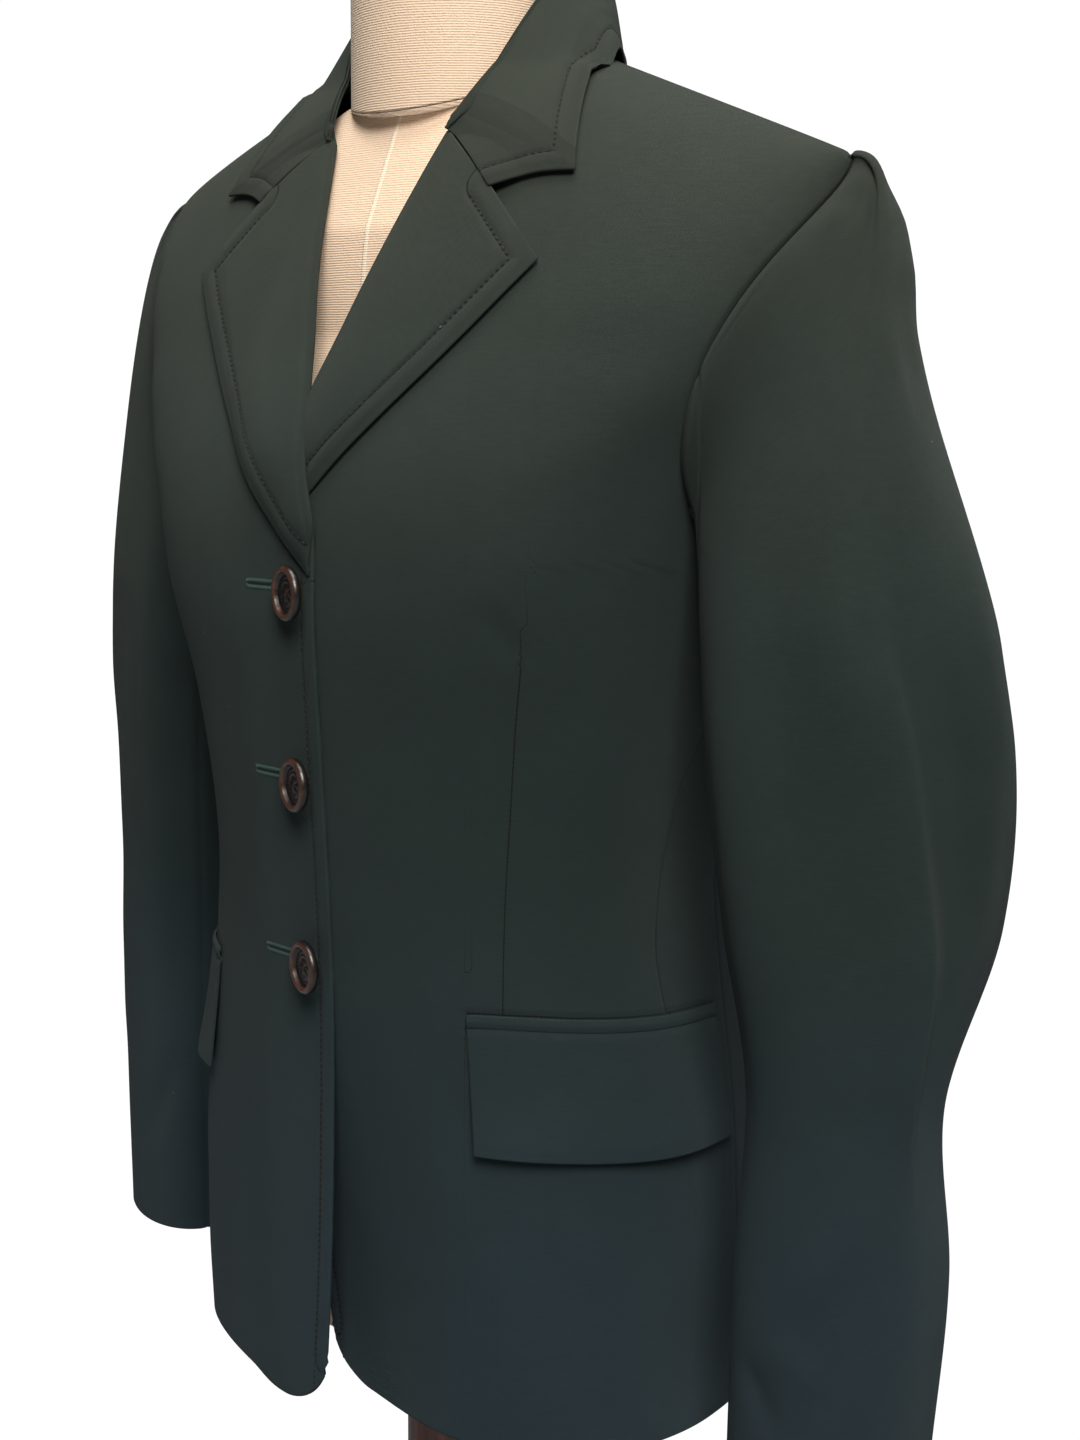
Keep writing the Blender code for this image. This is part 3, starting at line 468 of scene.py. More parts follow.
def bodyPoint(angle, height):  # the inner face of the cloth, on the wearer's left
    angle, height = np.broadcast_arrays(np.asarray(angle, float), np.asarray(height, float))
    turn = np.radians(angle)
    across, along = np.sin(turn), np.cos(turn)
    half = smoothColumn(bodyRows, height, 1)
    depth = np.where(along > 0, smoothColumn(bodyRows, height, 2), smoothColumn(bodyRows, height, 3))
    power = smoothColumn(bodyRows, height, 4)
    radius = (np.abs(across / half) ** power + np.abs(along / depth) ** power) ** (-1 / power)
    bust = hump(np.abs(angle), shape["bustRound"], shape["bustAngle"])
    bust = bust * hump(height, shape["bustUp"], shape["bustHeight"])
    radius = radius * (1 + shape["bustRise"] * bust)
    x, y = radius * across, -radius * along
    rise = np.clip((height - shape["capStart"]) / (ridgeAt(x) - shape["capStart"]), 0, 1)
    y = shape["shoulderY"] + (y - shape["shoulderY"]) * np.sqrt(1 - rise ** shape["capPower"])
    return np.stack([x, y, height], -1)


def bodyNormal(angle, height):
    roundBody = bodyPoint(angle + 0.4, height) - bodyPoint(angle - 0.4, height)
    upBody = bodyPoint(angle, height) - bodyPoint(angle, np.asarray(height) - 0.0006)
    normal = np.cross(roundBody, upBody)
    return normal / np.maximum(np.linalg.norm(normal, axis=-1, keepdims=True), 1e-12)


def bodyRelief(angle, height, side):
    rows = [(a * bodyReach, h, b * bodyReach, k, w, r) for s, a, h, b, k, w, r in bodyFolds if s == side]
    return foldField(np.asarray(angle) * bodyReach, height, rows)


def onBody(angle, height, raised, side):  # a point of the worked surface, moved out
    lift = raised + bodyRelief(angle, height, side)
    return bodyPoint(angle, height) + bodyNormal(angle, height) * np.expand_dims(lift, -1)


def angleAt(x, height, front=True):
    start, end = (-40.0, 94.0) if front else (200.0, 86.0)
    x, height = np.broadcast_arrays(np.asarray(x, float), np.asarray(height, float))
    low, high = np.full(x.shape, start), np.full(x.shape, end)
    for _ in range(26):
        middle = (low + high) / 2
        short = bodyPoint(middle, height)[..., 0] < x
        low, high = np.where(short, middle, low), np.where(short, high, middle)
    return (low + high) / 2


def movedOff(points, clearance):  # pushed along Y until outside the body, or inside if negative
    x, height = np.abs(points[..., 0]), points[..., 2]
    reach = np.minimum(height, ridgeAt(x) - 0.0005)
    out = points.copy()
    for front, way in ((True, -1), (False, 1)):
        angle = angleAt(x, reach, front)
        slant = np.maximum(np.abs(bodyNormal(angle, reach)[..., 1]), 0.35)
        face = bodyPoint(angle, reach)[..., 1] + way * clearance / slant
        here = (points[..., 1] < shape["shoulderY"]) == front
        short = (way * out[..., 1] < way * face) == (np.max(clearance) > 0)
        out[..., 1] = np.where(here & short & (height < ridgeAt(x)), face, out[..., 1])
    return out


def clearOfSide(points, clearance):  # pushed out round the wearer's left side
    reach = np.minimum(points[..., 2], ridgeAt(points[..., 0]) - 0.0005)
    facing = np.arctan2(points[..., 0], -points[..., 1])
    low, high = np.zeros(reach.shape), np.full(reach.shape, 180.0)
    for _ in range(26):
        middle = (low + high) / 2
        body = bodyPoint(middle, reach)
        short = np.arctan2(body[..., 0], -body[..., 1]) < facing
        low, high = np.where(short, middle, low), np.where(short, high, middle)
    normal = bodyNormal(low, reach)
    away = np.sum((points - bodyPoint(low, reach)) * normal, axis=-1)
    push = np.where(points[..., 2] < ridgeAt(points[..., 0]), np.maximum(clearance - away, 0), 0)
    return points + normal * push[..., None]


def shoulderTip():
    low, high = 0.72, 0.83
    for _ in range(40):
        middle = (low + high) / 2
        above = ridgeAt(bodyPoint(shape["armholeAngle"], middle)[0]) > middle
        low, high = (middle, high) if above else (low, middle)
    return low


tip = shoulderTip()


def armholeReach(height):
    off = np.clip((np.asarray(height, float) - shape["underarm"]) / (tip - shape["underarm"]), 0, 1)
    return np.sin(np.pi * off ** shape["armholeSkew"]) ** shape["armholeRound"]


def sideOf(height, back):  # the side seam, then the armhole
    height = np.asarray(height, float)
    reach = shape["armholeBack"] if back else -shape["armholeFront"]
    low = shape["sideSeam"] - 2 * ease(height, shape["underarm"] - 0.04, shape["underarm"])
    return np.where(height > shape["underarm"], shape["armholeAngle"] + reach * armholeReach(height), low)


def frontEdge(height):
    share = np.clip((shape["cutawayTop"] - height) / (shape["cutawayTop"] - shape["hemFront"]), 0, 1)
    return np.interp(height, rollHeights, rollHalf) + shape["cutaway"] * share**2


def hemHeight(angle):
    turn = np.abs(angle)
    front = shape["hemFront"] + (shape["hemSide"] - shape["hemFront"]) * ease(turn, 20, 90)
    return front + (shape["hemBack"] - shape["hemSide"]) * ease(turn, 90, 180)


def columnTop(angleOf, limit):
    low, high = np.full(np.shape(limit), 0.70), np.full(np.shape(limit), 0.86)
    for _ in range(26):
        middle = (low + high) / 2
        under = ridgeAt(bodyPoint(angleOf(middle), middle)[..., 0]) > middle
        low, high = np.where(under, middle, low), np.where(under, high, middle)
    return np.minimum(low, limit)


# the upper front lies over the lower one, and over the foot of its lapel; angles from the centre front
lapSet = dict(overFrom=9, overTo=24, tuck=0.0028, tuckFrom=6, tuckTo=22, tuckHeight=0.645, tuckLong=0.026)


def lapLift(angle, height):
    s = lapSet
    tucked = s["tuck"] * (1 - ease(angle, s["tuckFrom"], s["tuckTo"])) * hump(height, s["tuckLong"], s["tuckHeight"])
    return (layer + resting) * (1 - ease(angle, s["overFrom"], s["overTo"])) + tucked


def frontSwing(points, normals, angle, upper):
    low = ease(shape["flareTop"] - points[..., 2], 0, shape["flareTop"] - shape["hemFront"])
    swing = low * (1 - ease(angle, 0, shape["flareAngle"]))
    if upper:
        return points + normals * (lapLift(angle, points[..., 2]) + shape["flareOut"] * swing)[..., None]
    return points - normals * (shape["flareIn"] * swing)[..., None]


def gridNormals(grid):
    across, up = np.gradient(grid, axis=1), np.gradient(grid, axis=0)
    normal = np.cross(across, up)
    return normal / np.maximum(np.linalg.norm(normal, axis=-1, keepdims=True), 1e-12)


def distanceTo(points, line):  # least distance from each point to a line of points, and where along it
    flat = points.reshape(-1, 3)
    best, where = np.full(len(flat), 1e3), np.zeros(len(flat))
    run = 0.0
    for a, b in zip(line[:-1], line[1:]):
        step = b - a
        length = np.linalg.norm(step)
        if length < 1e-9:
            continue
        t = np.clip(((flat - a) @ step) / length**2, 0, 1)
        away = np.linalg.norm(flat - a - t[:, None] * step, axis=1)
        closer = away < best
        best, where = np.where(closer, away, best), np.where(closer, run + t * length, where)
        run += length
    return best.reshape(points.shape[:-1]), where.reshape(points.shape[:-1])


def sided(name, side, left="Left", right="Right"):
    return name + (left if side > 0 else right)


clothLog = {}


def clothShell(name, grid, thick, uv, extra=None, side=1, rimSteps=3):
    # a closed shell: the grid is the outer face, rows up and columns to the wearer's left,
    # made for that side and turned over for the other
    if side < 0:
        grid, uv = (grid * (-1, 1, 1))[:, ::-1], uv[:, ::-1]
        thick = thick[:, ::-1] if np.ndim(thick) else thick
        extra = {key: (away[:, ::-1], run[:, ::-1]) for key, (away, run) in (extra or {}).items()}
    grid = grid + (0, coatBack, 0)
    rows, columns = grid.shape[:2]
    normal = gridNormals(grid)
    thick = np.broadcast_to(np.asarray(thick, float), (rows, columns))
    inner = grid - normal * thick[..., None]
    index = np.arange(rows * columns).reshape(rows, columns)
    loop = np.concatenate([index[0, :], index[1:, -1], index[-1, -2::-1], index[-2:0:-1, 0]])
    edge, edgeNormal, edgeThick = (a.reshape(rows * columns, -1)[loop] for a in (grid, normal, thick[..., None]))
    tangent = np.roll(edge, -1, 0) - np.roll(edge, 1, 0)
    out = np.cross(tangent, edgeNormal)
    out /= np.maximum(np.linalg.norm(out, axis=1, keepdims=True), 1e-12)
    rings = []
    for k in range(1, rimSteps + 1):
        a = math.pi * k / (rimSteps + 1)
        rings.append(edge - edgeNormal * edgeThick / 2 * (1 - math.cos(a)) + out * edgeThick / 2 * math.sin(a))
    verts = np.concatenate([grid.reshape(-1, 3), inner.reshape(-1, 3)] + rings)
    a, b, c, d = (q.ravel() for q in (index[:-1, :-1], index[:-1, 1:], index[1:, 1:], index[1:, :-1]))
    count, around = rows * columns, len(loop)
    faces = [np.stack([a, b, c, d], 1), np.stack([a, d, c, b], 1) + count]
    levels = [loop] + [2 * count + k * around + np.arange(around) for k in range(rimSteps)] + [loop + count]
    for low, high in zip(levels, levels[1:]):
        faces.append(np.stack([low, high, np.roll(high, -1), np.roll(low, -1)], 1))
    faces = np.concatenate(faces)
    mesh = bpy.data.meshes.new(name)
    mesh.vertices.add(len(verts))
    mesh.vertices.foreach_set("co", verts.ravel())
    mesh.loops.add(faces.size)
    mesh.loops.foreach_set("vertex_index", faces.ravel())
    mesh.polygons.add(len(faces))
    mesh.polygons.foreach_set("loop_start", np.arange(0, faces.size, 4))
    mesh.update(calc_edges=True)

    def spread(value):  # a grid of values over every vertex
        flat = np.asarray(value).reshape(count, -1)
        return np.concatenate([flat, flat] + [flat[loop]] * rimSteps)

    uvLayer = mesh.uv_layers.new(name="clothMap")
    uvLayer.data.foreach_set("uv", spread(uv)[faces.ravel()].ravel())
    for key in sewnLines:  # a piece without one of these lines is everywhere far from it
        away, run = (extra or {}).get(key, (np.ones((rows, columns)), np.zeros((rows, columns))))
        for ending, value in (("", away), ("Run", run)):
            made = mesh.attributes.new(key + ending, "FLOAT", "POINT")
            made.data.foreach_set("value", spread(value)[:, 0])
    mesh.materials.append(finishes["cloth"])
    mesh.shade_smooth()
    piece = placeObject(name, mesh)
    corners = np.cross(grid[:-1, 1:] - grid[:-1, :-1], grid[1:, :-1] - grid[:-1, :-1])
    clothLog[name] = float(np.linalg.norm(corners, axis=-1).sum())
    return piece


def declareSheet(piece, nodes):
    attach(piece, "root")
    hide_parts(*nodes)


# metres in from a finished edge and from a seam, where a panel's rows and columns lie
nearSteps = (0.0, 0.0007, 0.0016, 0.0028, 0.0042, 0.0052, 0.0060, 0.0068, 0.0080, 0.0100, 0.0130)
seamSteps = (0.0, 0.0006, 0.0014, 0.0024, 0.0038, 0.0060)


def placesBetween(low, high, count, near, far):  # low and high are arrays; near and far in their own unit
    middle = np.linspace(0, 1, count)[1:-1]
    low, high = low[..., None], high[..., None]
    near, far = np.array(near), np.array(far)[::-1]
    return np.concatenate([
        low + near, low + near[-1] + (high - far[0] - low - near[-1]) * middle, high - far], axis=-1)


def columnAngles(count, inner, outer, near, far):  # the same, for each column of a grid
    k, n, f = np.arange(count), len(near), len(far)
    share = (k - n + 1) / (count - n - f + 1)
    middle = inner + near[-1] + (outer - far[0] - inner - near[-1]) * share
    return np.where(k < n, inner + near[np.minimum(k, n - 1)],
                    np.where(k >= count - f, outer - far[np.clip(k - (count - f), 0, f - 1)], middle))


print("surface ready")

# fronts and backs
frontCut = dict(
    frontRadius=0.124, sideRadius=0.15, backRadius=0.11, frontMap=0.135, backMap=0.125, stitchTop=0.598,
    edgePuff=0.0003, puffAt=0.0030, puffWide=0.0022, ditchWide=0.0010, edgeRound=0.005, hemThick=0.0006,
    seamRound=0.0016, centreRound=0.0020, armholeEase=0.01, closed=0.000002,
    columns=74, backColumns=54, rows=128, capRows=34, capDrop=0.07, thick=0.0015, edgeThick=0.0009, edgeStitch=0.0060,
    ditch=0.0004, seamRoll=0.0009, armholeRoll=0.0011,
)
dartLines = {  # angle and height down each dart, for the wearer's left and right
    1: dict(frontDart=((46.9, 0.5655), (46.4, 0.540), (45.9, 0.500), (45.1, 0.455), (44.8, 0.425), (44.7, 0.3995)),
            sideDart=((89.5, 0.556), (88.0, 0.538), (86.7, 0.528), (84.2, 0.515), (81.6, 0.502), (80.2, 0.485),
                      (78.8, 0.469), (77.8, 0.452), (77.2, 0.437), (77.2, 0.422), (77.9, 0.411), (78.7, 0.3975))),
    -1: dict(frontDart=((46.4, 0.5640), (45.9, 0.535), (45.3, 0.495), (44.8, 0.455), (44.5, 0.425), (44.4, 0.3995)),
             sideDart=((89.0, 0.554), (87.4, 0.536), (85.8, 0.525), (83.8, 0.512), (81.4, 0.499), (79.8, 0.482),
                       (78.5, 0.466), (77.8, 0.450), (77.5, 0.435), (77.6, 0.421), (78.2, 0.411), (78.8, 0.3975))),
}
pocketLine = (  # round the welt: angle and height
    (37.6, 0.3990), (37.6, 0.4052), (51.5, 0.4036), (65, 0.4002), (78.5, 0.3968), (92.4, 0.3952), (92.4, 0.3890))


def signedDistance(across, along, line):
    # over the surface: which side of the line, how far, and how far down it
    best, run = np.full(across.shape, 1e3), np.zeros(across.shape)
    sign, start = np.ones(across.shape), 0.0
    line = np.array(line) * (bodyReach, 1)
    for a, b in zip(line[:-1], line[1:]):
        step = b - a
        length = np.hypot(*step)
        raw = ((across - a[0]) * step[0] + (along - a[1]) * step[1]) / length**2
        t = np.clip(raw, 0, 1)
        away = np.hypot(across - a[0] - t * step[0], along - a[1] - t * step[1])
        turned = np.sign((across - a[0]) * step[1] - (along - a[1]) * step[0])
        closer = away < best
        best, sign = np.where(closer, away, best), np.where(closer, turned, sign)
        run = np.where(closer, start + t * length, run)
        start += length
    return best * np.where(sign == 0, 1, sign), run


def rowLevels(foot, top, near, s):  # rows from hem to top, closer where the shoulder turns flat
    bend = top - s["capDrop"]
    low = placesBetween(foot, bend, s["rows"], near, (0.0,))[..., :-1]
    share = np.concatenate([np.linspace(1, 0.085, s["capRows"]), (0.060, 0.038, 0.024, 0.014, 0.006, 0.0)])
    cap = top[..., None] - s["capDrop"] * share**2
    return np.moveaxis(np.concatenate([low, cap], axis=-1), -1, 0)


def frontPanel(side, s):
    upper = side < 0
    # degrees for each metre at the centre front and at the side
    inch, sideInch = (1 / math.radians(1) / s[k] for k in ("frontRadius", "sideRadius"))
    count = s["columns"] + len(nearSteps) + len(seamSteps) - 2

    def columnsOf(height):  # a value or a row of them for each column
        inner = angleAt(frontEdge(height), height)
        outer = sideOf(height, False) - seamGap / 2 * sideInch
        return columnAngles(count, inner, outer, np.array(nearSteps) * inch, np.array(seamSteps)[::-1] * sideInch)

    top = columnTop(columnsOf, np.full(count, 0.90)) - s["closed"]
    footAngle = columnsOf(np.full(count, shape["hemFront"] + shape["corner"]))
    fromEdge = bodyPoint(footAngle, shape["cornerAt"])[:, 0] - frontEdge(shape["hemFront"] + shape["corner"])
    inside = np.clip(1 - fromEdge / shape["corner"], 0, 1)
    foot = hemHeight(footAngle) + shape["corner"] * (1 - np.sqrt(1 - inside**2))
    height = rowLevels(foot, top, nearSteps, s)
    angle = columnsOf(height)
    base = onBody(angle, height, 0.0, side)
    normal = bodyNormal(angle, height)
    grid = frontSwing(base, normal, angle, upper)
    # the folded front edge and hem stand a little proud of their stitch line; seams roll in
    fromFront, _ = distanceTo(grid, grid[:, 0])
    fromHem, _ = distanceTo(grid, grid[0])
    finished = np.minimum(fromFront, fromHem)
    profile = s["edgePuff"] * hump(fromFront, s["puffWide"], s["puffAt"])
    profile -= s["ditch"] * hump(fromFront, s["ditchWide"], s["edgeStitch"]) * (1 - ease(height, 0.60, 0.62))
    rollIn = np.linalg.norm(grid - grid[:, -1:], axis=-1)
    armhole = ease(height, shape["underarm"] - s["armholeEase"], shape["underarm"] + s["armholeEase"])
    profile -= (s["seamRoll"] * (1 - armhole) * 0.5 + s["armholeRoll"] * armhole) * hump(rollIn, s["seamRound"])
    fromTop = np.linalg.norm(grid - grid[-1:], axis=-1)
    profile -= s["seamRoll"] * hump(fromTop, seamRound)
    grid = grid + normal * (wall + profile)[..., None]
    uv = np.stack([np.radians(angle) * s["frontMap"], height], -1)
    ended = 0.02 * ease(height, s["stitchTop"], s["stitchTop"] + 0.002)  # the stitch line stops under the lapel
    extra = {"topstitch": (fromFront - s["edgeStitch"] + ended, height + 0 * angle)}
    for key, line in dartLines[side].items():
        extra[key] = signedDistance(angle * bodyReach, height, line)
    extra["pocketMouth"] = signedDistance(angle * bodyReach, height, pocketLine)
    thick = s["thick"] + s["edgeThick"] * hump(finished, s["edgeRound"])
    piece = clothShell(sided("front", side), grid, thick, uv, extra, side)
    stitchColumn = nearSteps.index(s["edgeStitch"])
    keep = (height[:, 0] > shape["hemFront"] + 0.02) & (height[:, 0] < s["stitchTop"])
    line = (grid * (side, 1, 1) + (0, coatBack, 0))[keep, stitchColumn]
    return piece, line


def backPanel(side, s):
    inch, sideInch = (1 / math.radians(1) / s[k] for k in ("backRadius", "sideRadius"))
    centre = 180 - seamGap / 2 * inch
    count = s["backColumns"] + 2 * len(seamSteps) - 2

    def columnsOf(height):
        inner = sideOf(height, True) + seamGap / 2 * sideInch
        return columnAngles(count, inner, centre, np.array(seamSteps) * sideInch, np.array(seamSteps)[::-1] * inch)

    top = columnTop(columnsOf, np.full(count, shape["neckBack"])) - s["closed"]
    foot = hemHeight(columnsOf(np.full(count, shape["hemSide"])))
    height = rowLevels(foot, top, nearSteps, s)
    angle = columnsOf(height)
    grid = onBody(angle, height, 0.0, side)
    normal = bodyNormal(angle, height)
    fromSide = np.linalg.norm(grid - grid[:, :1], axis=-1)
    fromCentre = np.linalg.norm(grid - grid[:, -1:], axis=-1)
    armhole = ease(height, shape["underarm"] - s["armholeEase"], shape["underarm"] + s["armholeEase"])
    profile = -(s["seamRoll"] * (1 - armhole) * 0.5 + s["armholeRoll"] * armhole) * hump(fromSide, s["seamRound"])
    profile -= s["seamRoll"] * 0.8 * hump(fromCentre, s["centreRound"])
    fromTop = np.linalg.norm(grid - grid[-1:], axis=-1)
    profile -= s["seamRoll"] * hump(fromTop, seamRound)
    grid = grid + normal * (wall + profile)[..., None]
    uv = np.stack([np.radians(angle) * s["backMap"], height], -1)
    fromHem, _ = distanceTo(grid, grid[0])
    thick = s["thick"] + s["hemThick"] * hump(fromHem, s["edgeRound"])
    return clothShell(sided("back", side), grid, thick, uv, None, side)


frontLeft, leftEdgeLine = frontPanel(1, frontCut)
frontRight, rightEdgeLine = frontPanel(-1, frontCut)
backLeft, backRight = backPanel(1, frontCut), backPanel(-1, frontCut)
print("fronts and backs ready")

# sleeves
# height, centre x, centre y, half width, half thickness, turn
sleeveRings = np.array((
    (0.200, 0.2190, -0.009, 0.045, 0.031, 30.0), (0.290, 0.2205, -0.006, 0.047, 0.033, 32.0),
    (0.370, 0.2180, -0.004, 0.0430, 0.035, 34.0), (0.450, 0.2215, -0.001, 0.0610, 0.036, 36.0),
    (0.530, 0.2180, -0.003, 0.0665, 0.037, 36.0), (0.575, 0.2130, -0.006, 0.0630, 0.036, 35.0),
))
sleeveCut = dict(
    leaveTop=(0.112, 0.0, 0.024), leaveUnder=(0.054, 0.0, -0.009), leaveFront=(0.016, -0.022, -0.060),
    leaveBack=(0.036, 0.010, -0.045), fall=0.05, seamFront=92.0, seamBack=255.0,
    topColumns=96, underColumns=60, rows=170, headRows=46, cuffRows=14, thick=0.0015, seamRoll=0.0007,
    radius=0.055, headLong=0.13, armLong=0.375, foldsFrom=0.014, cuffThick=0.0008, cuffRound=0.004,
)
# side, turn and drop at both ends (drop in metres from the armhole), width, rise
sleeveFolds = (
    (1, -8, 0.115, -17, 0.235, (0.020, 0.0032), 0.0050), (1, -17, 0.215, -38, 0.36, (0.018, 0.0032), 0.0066),
    (1, -34, 0.14, -36, 0.26, 0.009, -0.0036), (1, 8, 0.06, 2, 0.18, 0.012, 0.0022),
    (1, 34, 0.08, 30, 0.24, 0.014, -0.0024), (1, 60, 0.10, 58, 0.30, 0.014, 0.0026),
    (1, 84, 0.14, 80, 0.36, 0.010, -0.0018), (1, -60, 0.06, -66, 0.20, 0.012, 0.0026),
    (1, -80, 0.14, -70, 0.30, 0.010, -0.0026), (1, -20, 0.36, 20, 0.42, 0.010, 0.0018),
    (1, 60, 0.455, 30, 0.485, 0.008, -0.0020), (1, 40, 0.44, 10, 0.46, 0.010, 0.0016),
    (1, -25, 0.028, -30, 0.055, 0.020, 0.0032), (1, -30, 0.066, -20, 0.074, 0.009, -0.0014),
    (1, 34, 0.010, 28, 0.032, 0.0042, -0.0011), (1, 25, 0.010, 19, 0.036, 0.0044, 0.0008),
    (1, 14, 0.012, 8, 0.034, 0.0050, -0.0006), (1, 2, 0.012, -2, 0.030, 0.0056, 0.0004),
    (1, 42, 0.008, 40, 0.024, 0.0040, 0.0009), (1, -12, 0.008, -16, 0.026, 0.0036, -0.0006),
    (-1, -10, 0.10, -18, 0.22, 0.009, 0.0022), (-1, 20, 0.08, 14, 0.22, 0.013, -0.0022),
    (-1, 48, 0.10, 44, 0.30, 0.014, 0.0024), (-1, 76, 0.12, 74, 0.34, 0.011, -0.0020),
    (-1, -46, 0.10, -50, 0.26, 0.012, -0.0024), (-1, -70, 0.08, -76, 0.22, 0.012, 0.0024),
    (-1, 0, 0.30, -30, 0.42, 0.010, 0.0020), (-1, 70, 0.40, 30, 0.46, 0.010, -0.0018),
    (-1, 32, 0.010, 26, 0.032, 0.0044, -0.0010), (-1, 22, 0.010, 17, 0.034, 0.0046, 0.0008),
    (-1, 8, 0.012, 4, 0.032, 0.0054, -0.0005), (-1, -22, 0.030, -28, 0.055, 0.012, 0.0040),
    (1, 190, 0.10, 186, 0.24, 0.012, -0.0022), (1, 160, 0.16, 158, 0.32, 0.012, 0.0020),
    (-1, 188, 0.10, 184, 0.26, 0.012, -0.0022), (-1, 156, 0.14, 158, 0.34, 0.012, 0.0020),
    (1, 226, 0.05, 220, 0.20, 0.012, 0.0024), (-1, 228, 0.06, 222, 0.22, 0.012, 0.0022),
)


def armholePoint(turn, inset, raised):
    reach = np.radians(turn)
    up, forward = np.cos(reach), np.sin(reach)
    middle, halfHeight = (tip + shape["underarm"]) / 2, (tip - shape["underarm"]) / 2
    share = np.sign(forward) * armholeReach(middle + halfHeight * up)
    half = np.where(forward > 0, shape["armholeFront"], shape["armholeBack"])
    angle = shape["armholeAngle"] - (half - np.degrees(inset / 0.19)) * share
    height = middle + (halfHeight - inset) * up
    return bodyPoint(angle, height) + bodyNormal(angle, height) * raised


def ringPoint(turn, height):
    reach, yaw = np.radians(turn), np.radians(smoothColumn(sleeveRings, height, 5))
    wide = smoothColumn(sleeveRings, height, 3) * -np.sin(reach)
    thickness = smoothColumn(sleeveRings, height, 4) * np.cos(reach)
    x = smoothColumn(sleeveRings, height, 1) + wide * np.cos(yaw) + thickness * np.sin(yaw)
    y = smoothColumn(sleeveRings, height, 2) + wide * np.sin(yaw) - thickness * np.cos(yaw)
    return np.stack(np.broadcast_arrays(x, y, height), -1)


def sleevePoint(turn, drop, s):
    turn, drop = np.broadcast_arrays(np.asarray(turn, float), np.asarray(drop, float))
    top, cuff = sleeveRings[-1, 0], sleeveRings[0, 0]
    below = ringPoint(turn, top + (cuff - top) * np.clip(drop - 1, 0, 1))
    u = np.clip(drop, 0, 1)[..., None]
    start, end = armholePoint(turn, 0.0004, 0.0002), ringPoint(turn, np.full(turn.shape, top))
    lift, forward = np.cos(np.radians(turn)), np.sin(np.radians(turn))
    over, under, beside = np.clip(lift, 0, 1) ** 2, np.clip(-lift, 0, 1) ** 2, (1 - lift**2)
    toFront, toBack = beside * (forward > 0), beside * (forward <= 0)
    leave = sum(np.expand_dims(share, -1) * np.array(s[key]) for share, key in (
        (over, "leaveTop"), (under, "leaveUnder"), (toFront, "leaveFront"), (toBack, "leaveBack")))
    ahead = ringPoint(turn, np.full(turn.shape, top - 0.004)) - end
    fall = ahead / 0.004 * (s["fall"] + 2 * s["fall"] * (1 + lift))[..., None]
    head = curveBetween(u, start, leave, end, fall)
    clear = (wall + 0.0006) * ease(drop, 0.0, 0.05) - 0.0010 * (1 - ease(drop, 0.0, 0.05))
    return clearOfSide(np.where(drop[..., None] < 1, head, below), clear)


def sleevePiece(side, under, s):
    first, last = (s["seamFront"], s["seamBack"]) if under else (s["seamBack"] - 360, s["seamFront"])
    gap = math.degrees(seamGap / 2 / 0.05)
    steps = np.array(seamSteps) * (1 / math.radians(1) / s["radius"])
    count = s["underColumns" if under else "topColumns"]
    turn = placesBetween(np.array(first + gap), np.array(last - gap), count, steps, steps)
    head, cuff = (0, 0.006, 0.014, 0.024, 0.036, 0.052, 0.072), (1.982, 1.988, 1.993, 1.997, 2.0)
    armRows = s["rows"] - s["headRows"] - s["cuffRows"]
    middle = np.linspace(0.095, 1, s["headRows"]), 1 + np.linspace(0, 0.975, armRows)[1:]
    drop = np.concatenate([head, *middle, cuff])[::-1]
    turn, drop = turn[None, :], drop[:, None]
    grid = sleevePoint(turn, drop, s)
    flatDrop = np.where(drop < 1, drop * s["headLong"], s["headLong"] + (drop - 1) * s["armLong"])
    rows = [(a * sleeveReach, d, b * sleeveReach, e, w, r) for k, a, d, b, e, w, r in sleeveFolds if k == side]
    wrapped = np.where((turn > 180) & (not under), turn - 360, turn)
    relief = foldField(wrapped * sleeveReach, flatDrop + 0 * turn, rows) * ease(flatDrop, 0.0, s["foldsFrom"])
    normal = -gridNormals(grid)
    fromFirst = np.linalg.norm(grid - grid[:, :1], axis=-1)
    fromLast = np.linalg.norm(grid - grid[:, -1:], axis=-1)
    relief -= s["seamRoll"] * (hump(fromFirst, seamRound) + hump(fromLast, seamRound))
    grid = grid + normal * (wall * ease(flatDrop, 0.0, 0.004) + relief)[..., None]
    uv = np.stack(np.broadcast_arrays(np.radians(turn) * s["radius"], -flatDrop), -1)
    fromCuff, _ = distanceTo(grid, grid[0])
    thick = s["thick"] + s["cuffThick"] * hump(fromCuff, s["cuffRound"])
    name = sided("sleeveUnder" if under else "sleeveTop", side)
    return clothShell(name, grid[:, ::-1], thick[:, ::-1], uv[:, ::-1], None, side)  # its turns run to the right


sleevePieces = {(side, under): sleevePiece(side, under, sleeveCut) for side in (1, -1) for under in (False, True)}
print("sleeves ready")

# lapels and collar
lapelCut = dict(
    footLeft=(0.0015, 0.627), footRight=(-0.0152, 0.600), gorge=(0.036, 0.792), notch=(0.070, 0.764),
    point=(0.102, 0.734), bow=0.0022, tip=0.0008, ditchWide=0.0010, pucker=0.18, puckerPitch=0.0062,
    belly=0.004, rise=0.0026, stitch=0.0094, puff=0.0005, ditch=0.0005, thick=0.001364, rollRadius=0.0022,
)


def stitchedEdge(away, s, run):  # a rolled edge outside its stitch line, puckered along it
    pucker = 1 + lapelCut["pucker"] * np.sin(run * 2 * np.pi / lapelCut["puckerPitch"])
    return (s["puff"] * hump(away, s["stitch"] * 0.30, s["stitch"] * 0.48)
            - s["ditch"] * pucker * hump(away, lapelCut["ditchWide"], s["stitch"]))


